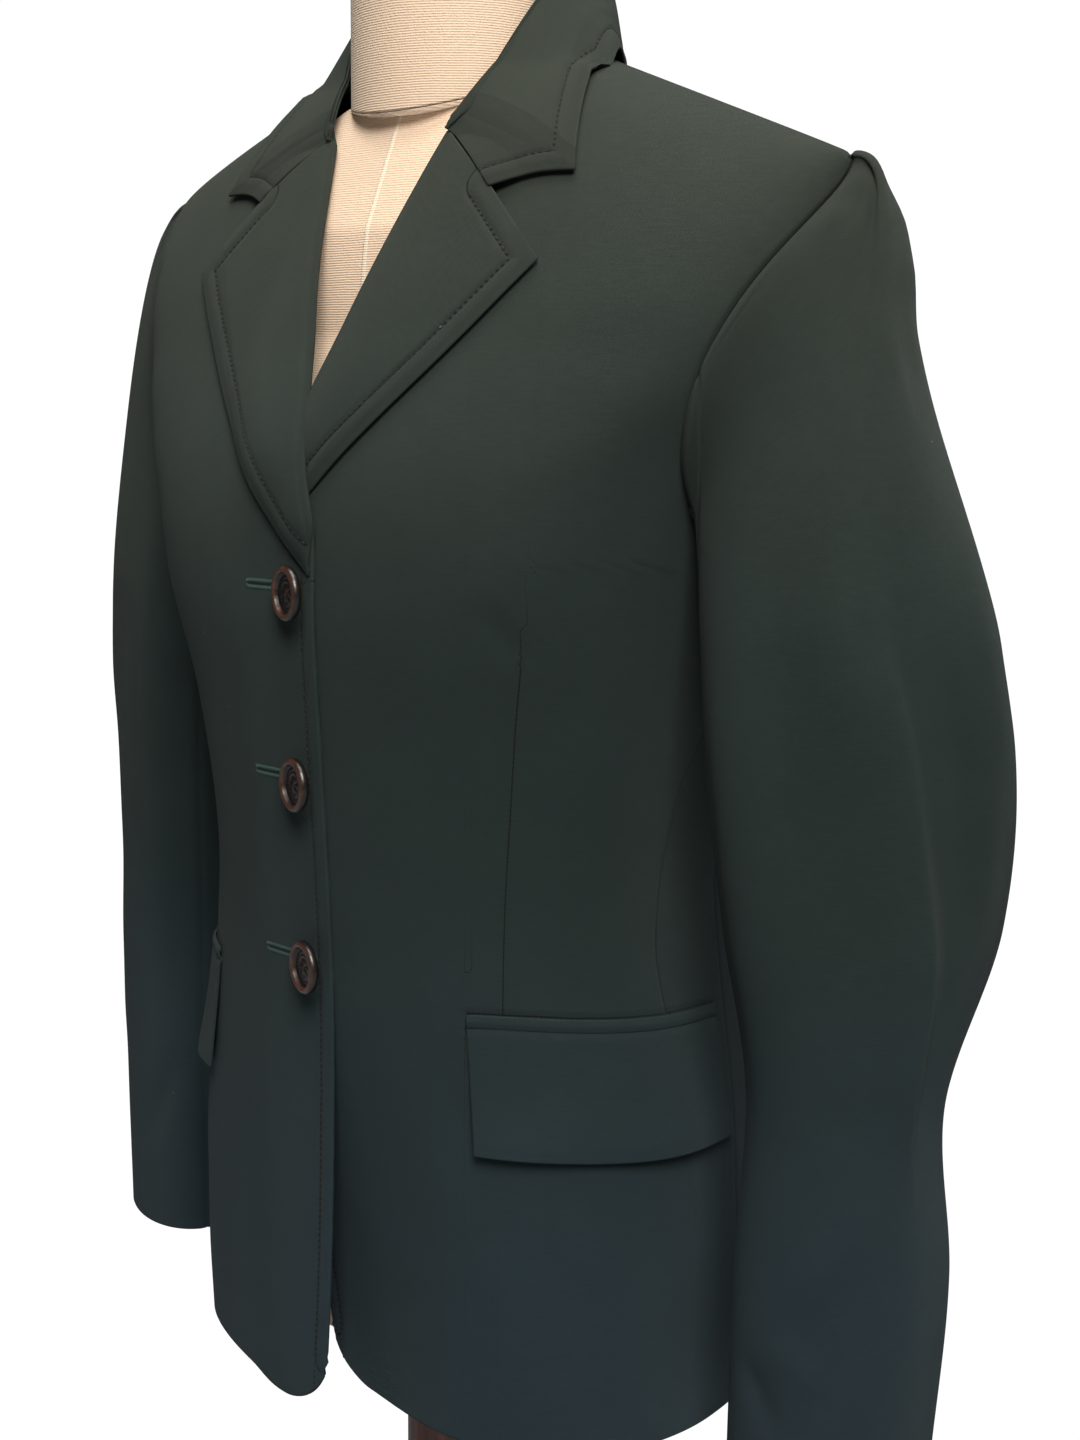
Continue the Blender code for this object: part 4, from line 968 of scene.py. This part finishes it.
def crossing(points, away, level):  # where a row of points first comes nearer than level to the edge
    for k in range(len(points) - 1):
        if away[k] >= level > away[k + 1]:
            t = (away[k] - level) / (away[k] - away[k + 1])
            return points[k] + (points[k + 1] - points[k]) * t
    return None


def lapelPiece(side, s):
    foot = s["footLeft"] if side > 0 else s["footRight"]
    along = np.concatenate([np.linspace(0, 0.90, 62), np.linspace(0.90, 1.0, 17)[1:]])[:, None]
    across = np.concatenate([np.linspace(0, 0.80, 28), np.linspace(0.80, 1.0, 24)[1:]])[None, :]
    rollHeight = foot[1] + 0.004 + (s["gorge"][1] - foot[1] - 0.004) * along
    rollX = np.interp(rollHeight, rollHeights, rollHalf)
    edgeHeight, edgeX = foot[1] + (s["point"][1] - foot[1]) * along, foot[0] + (s["point"][0] - foot[0]) * along
    x = rollX + (edgeX + s["belly"] * np.sin(np.pi * along) - rollX) * across
    height = rollHeight + (edgeHeight - rollHeight) * across
    straight = [s["gorge"][k] + (s["point"][k] - s["gorge"][k]) * across for k in (0, 1)]
    notch = np.interp(straight[0], *([s[k][m] for k in ("gorge", "notch", "point")] for m in (0, 1)))
    height = height + (notch - straight[1]) * along**6
    angle = angleAt(x, height)
    base = layer + 0.0003 + (lapLift(angle, height) + 0.0004 if side < 0 else 0 * angle)
    raised = base + s["rise"] * np.sin(np.pi * across**0.6) + s["tip"] * across + 0 * along
    narrow = ease(along, 0.0, 0.13)  # both lapels melt into the front's edge at their foot
    if side > 0:
        raised = base + (raised - base) * ease(along, 0.08, 0.26) - 0.0004 * (1 - ease(along, 0.05, 0.16))
    else:
        raised = base + (raised - base) * narrow - 0.0012 * (1 - narrow)
    raised = raised + s["bow"] * hump(along, 0.3, 0.45) * np.sin(np.pi * across**0.8)
    flat = onBody(angle, height, raised, side)
    normal = bodyNormal(angle, height)
    topEdge, sideEdge = flat[-1, 16:], flat[:, -1]
    fromTop, topRun = distanceTo(flat, topEdge)
    fromSide, sideRun = distanceTo(flat, sideEdge)
    away, run = np.minimum(fromTop, fromSide), np.where(fromTop < fromSide, topRun, sideRun)
    face = wall + stitchedEdge(away, s, run)
    grid = flat + normal * face[..., None]
    path = []
    for c in range(17, grid.shape[1]):
        found = crossing(grid[:, c], away[:, c], s["stitch"])
        if found is not None and fromTop[-1, c] < 1e-4 and fromSide[-1, c] > s["stitch"]:
            path.append(found)
    for r in range(grid.shape[0] - 1, 3, -1):
        found = crossing(grid[r], away[r], s["stitch"])
        if found is not None and fromTop[r, -1] > s["stitch"]:
            path.append(found)
    # the roll: the lapel turns round the front's edge and under it
    ahead = np.gradient(grid[:, 0], axis=0)
    ahead /= np.linalg.norm(ahead, axis=1, keepdims=True)
    out = np.cross(normal[:, 0], ahead)
    out /= np.linalg.norm(out, axis=1, keepdims=True)
    out = np.where(((grid[:, 0] - grid[:, 3]) * out).sum(1, keepdims=True) < 0, -out, out)
    wraps = []
    rounded = s["rollRadius"] * (0.15 + 0.85 * narrow)
    for turn in np.radians((165, 140, 115, 90, 65, 42, 20)):
        wraps.append(grid[:, 0] + out * rounded * math.sin(turn) - normal[:, 0] * rounded * (1 - math.cos(turn)))
    grid = np.concatenate([np.stack(wraps, 1), grid], axis=1)
    far = np.full((len(grid), len(wraps)), 0.05)
    extra = {"topstitch": (np.concatenate([far, away - s["stitch"]], 1), np.concatenate([0 * far, run], 1))}
    uv = np.stack([np.linspace(0, 0.09, grid.shape[1])[None, :] + 0 * along, along * 0.17 + 0 * grid[..., 0]], -1)
    piece = clothShell(sided("lapel", side), grid, s["thick"], uv, extra, side)
    line = np.array(path) * (side, 1, 1) + (0, coatBack, 0)
    return piece, line


lapelLeft, leftLapelLine = lapelPiece(1, lapelCut)
lapelRight, rightLapelLine = lapelPiece(-1, lapelCut)

# stations from the gorge to the centre back and one past it: fold x y z, then the stand's drop and outward lean
collarFold = np.array((
    (0, 0.0362, -0.0640, 0.7956, 0.0008, 0.0), (1, 0.0400, -0.0560, 0.8060, 0.0030, 0.0030),
    (2, 0.0550, -0.0200, 0.8600, 0.0300, 0.0110), (3, 0.0490, 0.0200, 0.8750, 0.0370, 0.0005),
    (4, 0.0280, 0.0480, 0.8790, 0.0410, 0.0), (5, 0.0, 0.0570, 0.8800, 0.0420, 0.0),
    (6, -0.0280, 0.0480, 0.8790, 0.0410, 0.0),
))
collarEdge = np.array((
    (1, 0.1060, -0.0590, 0.7740), (2, 0.0840, -0.0060, 0.8310), (3, 0.0630, 0.0310, 0.8325),
    (4, 0.0390, 0.0620, 0.8320), (5, 0.0, 0.0760, 0.8290), (6, -0.0390, 0.0620, 0.8320),
))
collarCut = dict(
    front=(0.0705, -0.0790, 0.7684), stitch=0.0094, puff=0.0005, ditch=0.0005, thick=0.0016, bow=0.0024,
    standRows=13,
)


def collarPiece(s):
    place = np.concatenate([np.linspace(0, 0.85, 26), np.linspace(0.85, 1.15, 25)[1:], np.linspace(1.15, 5, 92)[1:]])
    fold = np.stack([smoothColumn(collarFold, place, k) for k in (1, 2, 3)], -1)
    stand = np.maximum(smoothColumn(collarFold, place, 4), 0.0008)[:, None]
    lean = np.maximum(smoothColumn(collarFold, place, 5), 0.0)[:, None]
    corner = collarEdge[0, 1:]
    leaf = np.array(s["front"]) + (corner - s["front"]) * np.clip(place, 0, 1)[:, None]
    leaf[:, 2] += 0.0022 * np.sin(np.pi * np.clip(place, 0, 1))
    edge = np.where(place[:, None] < 1, leaf, np.stack([smoothColumn(collarEdge, place, k) for k in (1, 2, 3)], -1))
    fall = edge - fold
    length = np.linalg.norm(fall, axis=1, keepdims=True)
    flatOut = fall * (1, 1, 0)
    flatOut /= np.linalg.norm(flatOut, axis=1, keepdims=True)
    rolled = np.clip(stand / 0.022, 0, 1)
    atFold = (1 - rolled) * fall + rolled * flatOut * np.maximum(length, 0.03) * 0.75
    rows = []
    for t in np.concatenate([np.linspace(0, 0.75, 9), np.linspace(0.75, 1, 7)[1:-1]]):  # the stand, up to the fold
        foot = fold - stand * (0, 0, 1) + flatOut * lean
        up = stand * (0, 0, 1.15)
        over = flatOut * 0.010 * rolled + (1 - rolled) * fall * 0.05
        rows.append(curveBetween(t, foot, up, fold, over))
    for t in np.concatenate([np.linspace(0, 0.62, 22), np.linspace(0.62, 1, 26)[1:]]):  # the fall
        down = fall + rolled * length * np.array((0, 0, -0.35))
        point = curveBetween(t, fold, atFold, edge, down)
        rows.append(point + s["bow"] * math.sin(math.pi * t) * (1 - rolled) * np.array((0.0, -0.5, 0.85)))
    half = np.array(rows)
    moved, standRows = movedOff(half, layer + wall + 2 * resting), s["standRows"]
    moved[:standRows] = half[:standRows] + (moved[standRows - 1] - half[standRows - 1])  # it hangs from the fold
    half = moved
    finished = half[-1]
    away, run = distanceTo(half, finished)
    face = stitchedEdge(away, s, run)
    full = np.concatenate([(half * (-1, 1, 1))[:, :-1], half[:, ::-1]], axis=1)
    faces = np.concatenate([face[:, :-1], face[:, ::-1]], axis=1)
    aways = np.concatenate([away[:, :-1], away[:, ::-1]], axis=1)
    normal = gridNormals(full)
    full = full + normal * faces[..., None]
    path = []
    for c in range(full.shape[1]):
        found = crossing(full[standRows + 1:, c], aways[standRows + 1:, c], s["stitch"])
        if found is not None:
            path.append(found)
    across, up = np.linspace(0, 0.46, full.shape[1])[None, :], np.linspace(0, 0.09, full.shape[0])[:, None]
    uv = np.stack(np.broadcast_arrays(across, up), -1)
    runs = np.concatenate([-run[:, :-1], run[:, ::-1]], axis=1)
    extra = {"topstitch": (np.where(np.arange(len(full))[:, None] < standRows + 1, 0.05, aways - s["stitch"]), runs)}
    return clothShell("collarCloth", full, s["thick"], uv, extra), np.array(path) + (0, coatBack, 0)


collar, collarLine = collarPiece(collarCut)
print("lapels and collar ready")

# pockets
pocketCut = dict(
    height=0.399, front=38.0, back=92.0, droop=0.010, welt=0.005, drop=0.058, slant=2.0, kick=0.004,
    sag=0.0020, wave=0.0012, waves=0.16, puff=0.0005, flapEdge=0.0035, weltEdge=0.0013, tuck=0.0010, tuckLong=0.0022,
    thick=0.0013, columns=84, flapRows=40, weltRows=4,
)


def pocketPiece(side, kind, s):
    wide = kind == "flap"
    foot, top = (np.array(k) for k in ((-s["drop"], -seamGap) if wide else (0.0, s["welt"])))
    border = (0, 0.0006, 0.0013)
    low, high = (seamSteps[:5], (*border, 0.0022)) if wide else (border, border)
    drop = placesBetween(foot, top, s["flapRows" if wide else "weltRows"], low, high)[:, None]
    sides = np.array(seamSteps) / math.radians(1) / frontCut["frontMap"]
    angle = placesBetween(np.array(s["front"]), np.array(s["back"]), s["columns"], sides, sides)[None, :]
    down = np.clip(-drop / s["drop"], 0, 1)
    height = s["height"] + drop - ease(angle, s["front"], s["back"]) * s["droop"]
    if wide:
        height = height - s["sag"] * np.sin(np.pi * (angle - s["front"]) / (s["back"] - s["front"])) * down
    lean = s["slant"] * (drop / s["drop"]) * (s["back"] - angle)
    slanted = angle - np.minimum(lean, 0) / (s["back"] - s["front"])
    kick = s["kick"] * down**1.5 if wide else 0
    wave = s["wave"] * np.sin(angle * s["waves"] + side) * down**2 if wide else 0
    lift = layer + 0.0002 + kick + wave + 0 * angle
    normal = bodyNormal(slanted, height)
    base = frontSwing(onBody(slanted, height, 0.0, side), normal, slanted, side < 0)
    grid = base + normal * lift[..., None]
    rim = (grid[:, 0][::-1], grid[0], grid[:, -1]) if wide else (grid[0], grid[:, -1], grid[-1][::-1])
    away, _ = distanceTo(grid, np.concatenate(rim))
    puff = s["puff"] * (1 - hump(away, s["flapEdge" if wide else "weltEdge"]))
    if wide:
        puff -= s["tuck"] * hump(drop, s["tuckLong"])
    grid = grid + normal * (s["thick"] + puff)[..., None]
    uv = np.stack(np.broadcast_arrays(np.radians(angle) * frontCut["frontMap"], drop + s["height"]), -1)
    return clothShell(sided(kind, side), grid, s["thick"], uv, None, side)


pocketPieces = {(side, kind): pocketPiece(side, kind, pocketCut) for side in (1, -1) for kind in ("flap", "welt")}
print("pockets ready")

# buttons
buttonSet = dict(
    count=3, top=0.592, step=0.0862, radius=0.0125, x=0.0095, turn=-20.0, around=96,
    beads=24, beadHigh=0.00018, beadRing=(0.0064, 0.0082), petals=6, petalHigh=0.00022, petalRing=(0.0010, 0.0040),
)
# radius and level of the turned face, from the centre out, and how much wear and painted highlight it takes: the
# raised crests are painted warmer and lighter
buttonProfile = (
    (0.0, 0.0031, 0.3), (0.0012, 0.0032, 0.4), (0.0024, 0.0030, 0.3), (0.0038, 0.0030, 0.2), (0.0044, 0.0027, 0.0),
    (0.0050, 0.0031, 0.5), (0.0056, 0.0031, 0.5), (0.0061, 0.0027, 0.0), (0.0067, 0.0029, 0.3), (0.0073, 0.0030, 0.4),
    (0.0079, 0.0029, 0.3), (0.0085, 0.0027, 0.0), (0.0090, 0.0031, 0.2), (0.0094, 0.0046, 0.8), (0.0099, 0.0052, 1.0),
    (0.0107, 0.0053, 1.0), (0.0114, 0.0051, 0.9), (0.0120, 0.0045, 0.6), (0.0124, 0.0038, 0.3), (0.0125, 0.0030, 0.1),
    (0.0124, 0.0020, 0.0), (0.0118, 0.0011, 0.0), (0.0100, 0.0005, 0.0), (0.0076, 0.0, 0.0), (0.0, 0.0, 0.0),
)


def buttonSeat(number, s):
    height = s["top"] - number * s["step"]
    seat = bodyPoint(0.0, height) + bodyNormal(0.0, height) * 2 * layer
    clear = s["radius"] * math.sin(math.radians(abs(s["turn"]))) + 0.0012
    place = Vector(seat + np.array((s["x"], coatBack - clear, 0)))
    turned = Matrix.Rotation(math.radians(s["turn"]), 4, "Z") @ Matrix.Rotation(math.radians(90), 4, "X")
    return Matrix.Translation(place) @ turned


def ringFaces(count, around):  # between rings of points, each as many round
    places = [(j * around, k, (k + 1) % around) for j in range(count - 1) for k in range(around)]
    return [(ring + k, ring + n, ring + around + n, ring + around + k) for ring, k, n in places]


def makeButton(number, s):
    rows = buttonProfile[::-1]
    verts, rim, around = [], [], s["around"]
    for radius, level, wearAndHighlight in rows:
        for k in range(around):
            a = 2 * math.pi * k / around
            raised = 0.0
            for count, high, (low, far) in ((s["beads"], s["beadHigh"], s["beadRing"]),
                                            (s["petals"], s["petalHigh"], s["petalRing"])):
                if low < radius < far and level > 0:
                    raised += high * math.cos(a * count)
            verts.append((radius * math.cos(a), radius * math.sin(a), level + raised))
            rim.append(wearAndHighlight)
    mesh = bpy.data.meshes.new("button%d" % (number + 1))
    mesh.from_pydata(verts, [], ringFaces(len(rows), around))
    wearAndHighlight = mesh.attributes.new("rim", "FLOAT", "POINT")
    wearAndHighlight.data.foreach_set("value", rim)
    mesh.transform(buttonSeat(number, s))
    mesh.materials.append(finishes["horn"])
    mesh.validate()
    mesh.shade_smooth()
    piece = placeObject(mesh.name, mesh)
    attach(piece, "root")
    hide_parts("button_%d" % (number + 1))
    return piece


for number in range(buttonSet["count"]):
    makeButton(number, buttonSet)
print("buttons ready")

# stitches, by Geometry Nodes


def stitchTree():
    # short rounded threads along lines; each point's own lay turns its thread
    tree = bpy.data.node_groups.new("stitchesAlong", "GeometryNodeTree")
    for label, kind, value in (("Geometry", "Geometry", None), ("Pitch", "Float", 0.003), ("Long", "Float", 0.0022),
                               ("Wide", "Float", 0.0004), ("Thread", "Material", None)):
        made = tree.interface.new_socket(name=label, in_out="INPUT", socket_type="NodeSocket" + kind)
        if value is not None:
            made.default_value = value
    tree.interface.new_socket(name="Geometry", in_out="OUTPUT", socket_type="NodeSocketGeometry")
    given = tree.nodes.new("NodeGroupInput").outputs
    curve = addNode(tree, "GeometryNodeMeshToCurve", {"Mesh": given["Geometry"]}).outputs["Curve"]
    spots = addNode(tree, "GeometryNodeResampleCurve", mode="LENGTH")
    feed(tree, spots, {"Curve": curve, "Length": given["Pitch"]})
    thread = addNode(tree, "GeometryNodeMeshUVSphere", {"Segments": 6, "Rings": 5, "Radius": 0.5})
    lay = addNode(tree, "GeometryNodeInputNamedAttribute", {"Name": "lay"}, data_type="FLOAT_VECTOR")
    turned = addNode(tree, "FunctionNodeAlignEulerToVector", {"Vector": lay.outputs["Attribute"]}, axis="X")
    uneven = addNode(tree, "FunctionNodeRandomValue", {2: 0.88, 3: 1.10, "Seed": 7}).outputs[1]
    length, wide = addMath(tree, "MULTIPLY", given["Long"], uneven), given["Wide"]
    size = addNode(tree, "ShaderNodeCombineXYZ", {"X": length, "Y": wide, "Z": wide})
    each = addNode(tree, "GeometryNodeInstanceOnPoints", {
        "Points": spots.outputs["Curve"], "Instance": thread.outputs["Mesh"],
        "Rotation": turned.outputs["Rotation"], "Scale": size.outputs[0],
    })
    real = addNode(tree, "GeometryNodeRealizeInstances", {"Geometry": each.outputs["Instances"]})
    shaded = addNode(tree, "GeometryNodeSetShadeSmooth", {"Geometry": real.outputs["Geometry"]})
    dressed = addNode(tree, "GeometryNodeSetMaterial", {
        "Geometry": shaded.outputs["Geometry"], "Material": given["Thread"]})
    feed(tree, tree.nodes.new("NodeGroupOutput"), {"Geometry": dressed.outputs["Geometry"]})
    return tree


stitches = stitchTree()


def makeStitches(name, lines, lays, thread, pitch, long, wide, slot="cloth"):
    verts, edges, lay = [], [], []
    for line, direction in zip(lines, lays):
        first = len(verts)
        verts += [tuple(p) for p in line]
        lay += [tuple(p) for p in direction]
        edges += [(first + k, first + k + 1) for k in range(len(line) - 1)]
    mesh = bpy.data.meshes.new(name + "Line")
    mesh.from_pydata(verts, edges, [])
    made = mesh.attributes.new("lay", "FLOAT_VECTOR", "POINT")
    made.data.foreach_set("vector", np.array(lay, float).ravel())
    source = placeObject(name + "Line", mesh)
    modifier = source.modifiers.new("stitches", "NODES")
    modifier.node_group = stitches
    named = {item.name: item.identifier for item in stitches.interface.items_tree if item.in_out == "INPUT"}
    for label, value in (("Pitch", pitch), ("Long", long), ("Wide", wide), ("Thread", thread)):
        modifier[named[label]] = value
    bpy.context.view_layer.update()
    solid = bpy.data.meshes.new_from_object(source.evaluated_get(bpy.context.evaluated_depsgraph_get()))
    solid.name = name
    bpy.data.objects.remove(source)
    piece = placeObject(name, solid)
    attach(piece, "root")
    return piece


def alongLine(line):
    step = np.gradient(line, axis=0)
    return step / np.maximum(np.linalg.norm(step, axis=1, keepdims=True), 1e-12)


sewn = dict(lapelStitchLeft=leftLapelLine, lapelStitchRight=rightLapelLine, collarStitch=collarLine,
            edgeStitchLeft=leftEdgeLine, edgeStitchRight=rightEdgeLine)
for name, line in sewn.items():
    makeStitches(name, [line], [alongLine(line)], finishes["darkThreadAndSlitShade"], **stitchSet)

# buttonholes: a slit bound with close thread bars, round at the button's end
holeCut = dict(
    length=0.0300, half=0.0015, eye=0.0026, bar=0.0021, pitch=0.00078, wide=0.00056, barRaised=0.00012,
    inward=0.0040, up=0.0020, slitHalf=0.00045, slitRaised=0.00008, slitSteps=14,
)


def rightFrontPoint(x, height, raised):  # on the upper front, x measured towards the wearer's left
    angle = angleAt(-np.asarray(x), np.asarray(height))
    normal = bodyNormal(angle, height)
    point = frontSwing(onBody(angle, height, 0.0, -1), normal, angle, True) + normal * (wall + raised)
    return point * (-1, 1, 1) + (0, coatBack, 0), normal * (-1, 1, 1)


def holeOutline(s):  # from the bar tack round the keyhole eye and back, x towards the front edge
    eye, half, end = s["eye"], s["half"], -s["length"] * 0.95
    line = [(-s["length"], half * 0.7)] + [(x, half) for x in np.linspace(end, -eye, 16)]
    line += [(eye * 0.2 + eye * math.cos(a), eye * math.sin(a)) for a in np.linspace(2.2, -2.2, 16)]
    line += [(x, -half) for x in np.linspace(-eye, end, 16)] + [(-s["length"], -half * 0.7)]
    return np.array(line)


holeLines, holeLays, slits = [], [], []
for number in range(buttonSet["count"]):
    centre = (buttonSet["x"] - holeCut["inward"], buttonSet["top"] - number * buttonSet["step"] + holeCut["up"])
    flat = holeOutline(holeCut)
    spot, normal = rightFrontPoint(centre[0] + flat[:, 0], centre[1] + flat[:, 1], holeCut["barRaised"])
    tangent = alongLine(spot)
    holeLines.append(spot)
    holeLays.append(np.cross(tangent, normal))
    span = np.linspace(-holeCut["length"] * 0.97, holeCut["eye"] * 0.6, holeCut["slitSteps"])
    for way in (-1, 1):
        level = centre[1] + way * holeCut["slitHalf"] + 0 * span
        slits.append(rightFrontPoint(centre[0] + span, level, holeCut["slitRaised"])[0])
# the slit is a dark sheet in the dark thread's colour laid over the cloth: painted shade in the cut opening
slitVerts = np.concatenate(slits)
slitShadeMesh = bpy.data.meshes.new("buttonholeSlit")
steps = holeCut["slitSteps"]
corners = [2 * steps * n + k for n in range(buttonSet["count"]) for k in range(steps - 1)]
slitFaces = [(a, a + 1, a + 1 + steps, a + steps) for a in corners]
slitShadeMesh.from_pydata(slitVerts.tolist(), [], slitFaces)
slitShadeMesh.materials.append(finishes["darkThreadAndSlitShade"])
slitShade = placeObject("buttonholeSlit", slitShadeMesh)
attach(slitShade, "root")
makeStitches("buttonholeThread", holeLines, holeLays, finishes["tealThread"],
             holeCut["pitch"], holeCut["bar"], holeCut["wide"])
print("stitches ready")

# dress form, pole and foot
# height, half width, front, back
formRows = np.array((
    (0.215, 0.132, 0.086, 0.102), (0.300, 0.134, 0.090, 0.102), (0.380, 0.122, 0.094, 0.088),
    (0.450, 0.116, 0.096, 0.078), (0.520, 0.122, 0.102, 0.082), (0.590, 0.136, 0.110, 0.092),
    (0.650, 0.146, 0.104, 0.098), (0.705, 0.154, 0.084, 0.098),
))
formSet = dict(
    bottom=0.205, square=2.2, neckBase=0.821, neckTilt=0.35, neckWide=0.0500, neckDeep=0.0460, neckTop=0.955,
    topRadius=0.0480, neckLean=-0.020, clear=0.003, around=160,
)


def formRing(height, s):
    a = np.arange(s["around"]) * 2 * np.pi / s["around"]
    across, along = np.sin(a), np.cos(a)
    half = smoothColumn(formRows, height, 1)
    depth = np.where(along > 0, smoothColumn(formRows, height, 2), smoothColumn(formRows, height, 3))
    radius = (np.abs(across / half) ** s["square"] + np.abs(along / depth) ** s["square"]) ** (-1 / s["square"])
    return np.stack([radius * across, -radius * along, np.full(s["around"], height)], -1)


def neckRing(share, s):
    a = np.arange(s["around"]) * 2 * np.pi / s["around"]
    half = s["neckWide"] + (s["topRadius"] - s["neckWide"]) * min(1, share * 2.2)
    depth = s["neckDeep"] + (s["topRadius"] - s["neckDeep"]) * min(1, share * 2.2)
    x, y = half * np.sin(a), s["neckLean"] - depth * np.cos(a)
    base = s["neckBase"] + s["neckTilt"] * (y - s["neckLean"])
    return np.stack([x, y, base + (s["neckTop"] - base) * share], -1)


def ringedPiece(name, rings, finish, extra, nodes):
    rings = np.array(rings)
    count, around = rings.shape[:2]
    verts = np.concatenate([rings.reshape(-1, 3), rings[0].mean(0)[None], rings[-1].mean(0)[None]])
    low, high = count * around, count * around + 1
    faces = ringFaces(count, around)
    faces += [(low, (k + 1) % around, k) for k in range(around)]
    faces += [(high, (count - 1) * around + k, (count - 1) * around + (k + 1) % around) for k in range(around)]
    mesh = bpy.data.meshes.new(name)
    mesh.from_pydata(verts.tolist(), [], faces)
    for key, value in extra.items():
        made = mesh.attributes.new(key, "FLOAT", "POINT")
        made.data.foreach_set("value", np.concatenate([np.asarray(value, float).ravel(), (1.0, 1.0)]))
    mesh.materials.append(finish)
    mesh.shade_smooth()
    piece = placeObject(name, mesh)
    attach(piece, "root")
    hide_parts(*nodes)
    return piece


def makeForm(s):
    rings = [formRing(s["bottom"], s) * (k, k, 1) for k in (0.90, 0.93, 0.945)]
    rings[0][:, 2], rings[1][:, 2], rings[2][:, 2] = s["bottom"], s["bottom"] + 0.0006, s["bottom"] + 0.003
    rings += [formRing(h, s) for h in np.linspace(0.216, formRows[-1, 0], 60)]
    chest, seam = rings[-1], neckRing(0.0, s) - (0, 0, seamGap)
    inward = (seam - chest) * (1, 1, 0)
    for u in np.linspace(0, 1, 44)[1:]:
        slope = inward * 1.1 + (0, 0, 0.030)
        ring = curveBetween(u, chest, np.array((0, 0, 0.13)), seam, slope)
        if u < 1:
            ring[:, 2] = np.minimum(ring[:, 2], ridgeAt(ring[:, 0]) - 2 * s["clear"])
            ring = movedOff(ring, -s["clear"])
        rings.append(ring)
    rings = np.array(rings)
    frontSeam = np.where(rings[..., 1] < 0, rings[..., 0], 1.0)
    fromNeck = np.linalg.norm(rings - rings[-1:], axis=-1)
    seams = dict(frontSeam=frontSeam, neckSeam=fromNeck)
    ringedPiece("formBody", rings + (0, coatBack, 0), finishes["jersey"], seams, ["form_body"])
    shares = np.concatenate([np.linspace(0, 0.08, 14), np.linspace(0.08, 0.95, 50)[1:]])
    neck = [neckRing(t, s) for t in shares]
    top = neckRing(1.0, s)
    middle = top.mean(0)
    for k, drop in ((0.985, 0.0022), (0.96, 0.0008), (0.93, 0.0)):
        neck.append(middle + (top - middle) * (k, k, 1) - (0, 0, drop))
    neck = np.array(neck)
    fromBase = np.linalg.norm(neck - neck[:1], axis=-1)
    ringedPiece("formNeck", neck + (0, coatBack, 0), finishes["jersey"],
                dict(frontSeam=np.ones(neck.shape[:2]), neckSeam=fromBase), ["form_neck"])


standSet = dict(  # radius and level up the pole, and from the foot's underside to its middle
    around=96,
    pole=((0.0143, 0.0183), (0.0145, 0.0186), (0.0145, 0.100), (0.0145, 0.190), (0.0145, 0.2035), (0.0143, 0.2047)),
    foot=((0.1488, 0.0), (0.1496, 0.0004), (0.1500, 0.0014), (0.1500, 0.0046), (0.1494, 0.0060), (0.1480, 0.0072),
          (0.1455, 0.0080), (0.120, 0.0102), (0.090, 0.0122), (0.060, 0.0146), (0.034, 0.0170), (0.0262, 0.0178),
          (0.0245, 0.0180)),
)


def makeStand(s):
    around = np.arange(s["around"]) * 2 * np.pi / s["around"]
    circle = np.stack([np.cos(around), np.sin(around), 0 * around], -1)
    pole, foot = ([circle * r + (0, 0, z) for r, z in s[k]] for k in ("pole", "foot"))
    ringedPiece("pole", pole, finishes["poleWood"], {}, ["pole"])
    ringedPiece("foot", foot, finishes["footWood"], {}, ["base"])


makeForm(formSet)
makeStand(standSet)
print("form and stand ready")

# each sheet hangs from the root, and its part in the frame is hidden; the flat sizes are worked out but not used
declareSheet(frontLeft, ["front_left"])
declareSheet(frontRight, ["front_right"])
declareSheet(backLeft, ["back_left"])
declareSheet(backRight, ["back_right"])
for (side, under), piece in sleevePieces.items():
    node = sided("sleeve_under_" if under else "sleeve_top_", side, "left", "right")
    flat, area = ((0.17, 0.50), 0.066) if under else ((0.25, 0.58), 0.105)
    declareSheet(piece, [node])
declareSheet(lapelLeft, ["lapel_left"])
declareSheet(lapelRight, ["lapel_right"])
declareSheet(collar, ["collar"])
for (side, kind), piece in pocketPieces.items():
    node = sided(kind, side, "_left", "_right")
    flat, area = ((0.132, 0.058), None) if kind == "flap" else ((0.132, 0.011), 0.0009)
    declareSheet(piece, [node])

for name, value in clothLog.items():
    print("cut %s %.4f square metres" % (name, value))
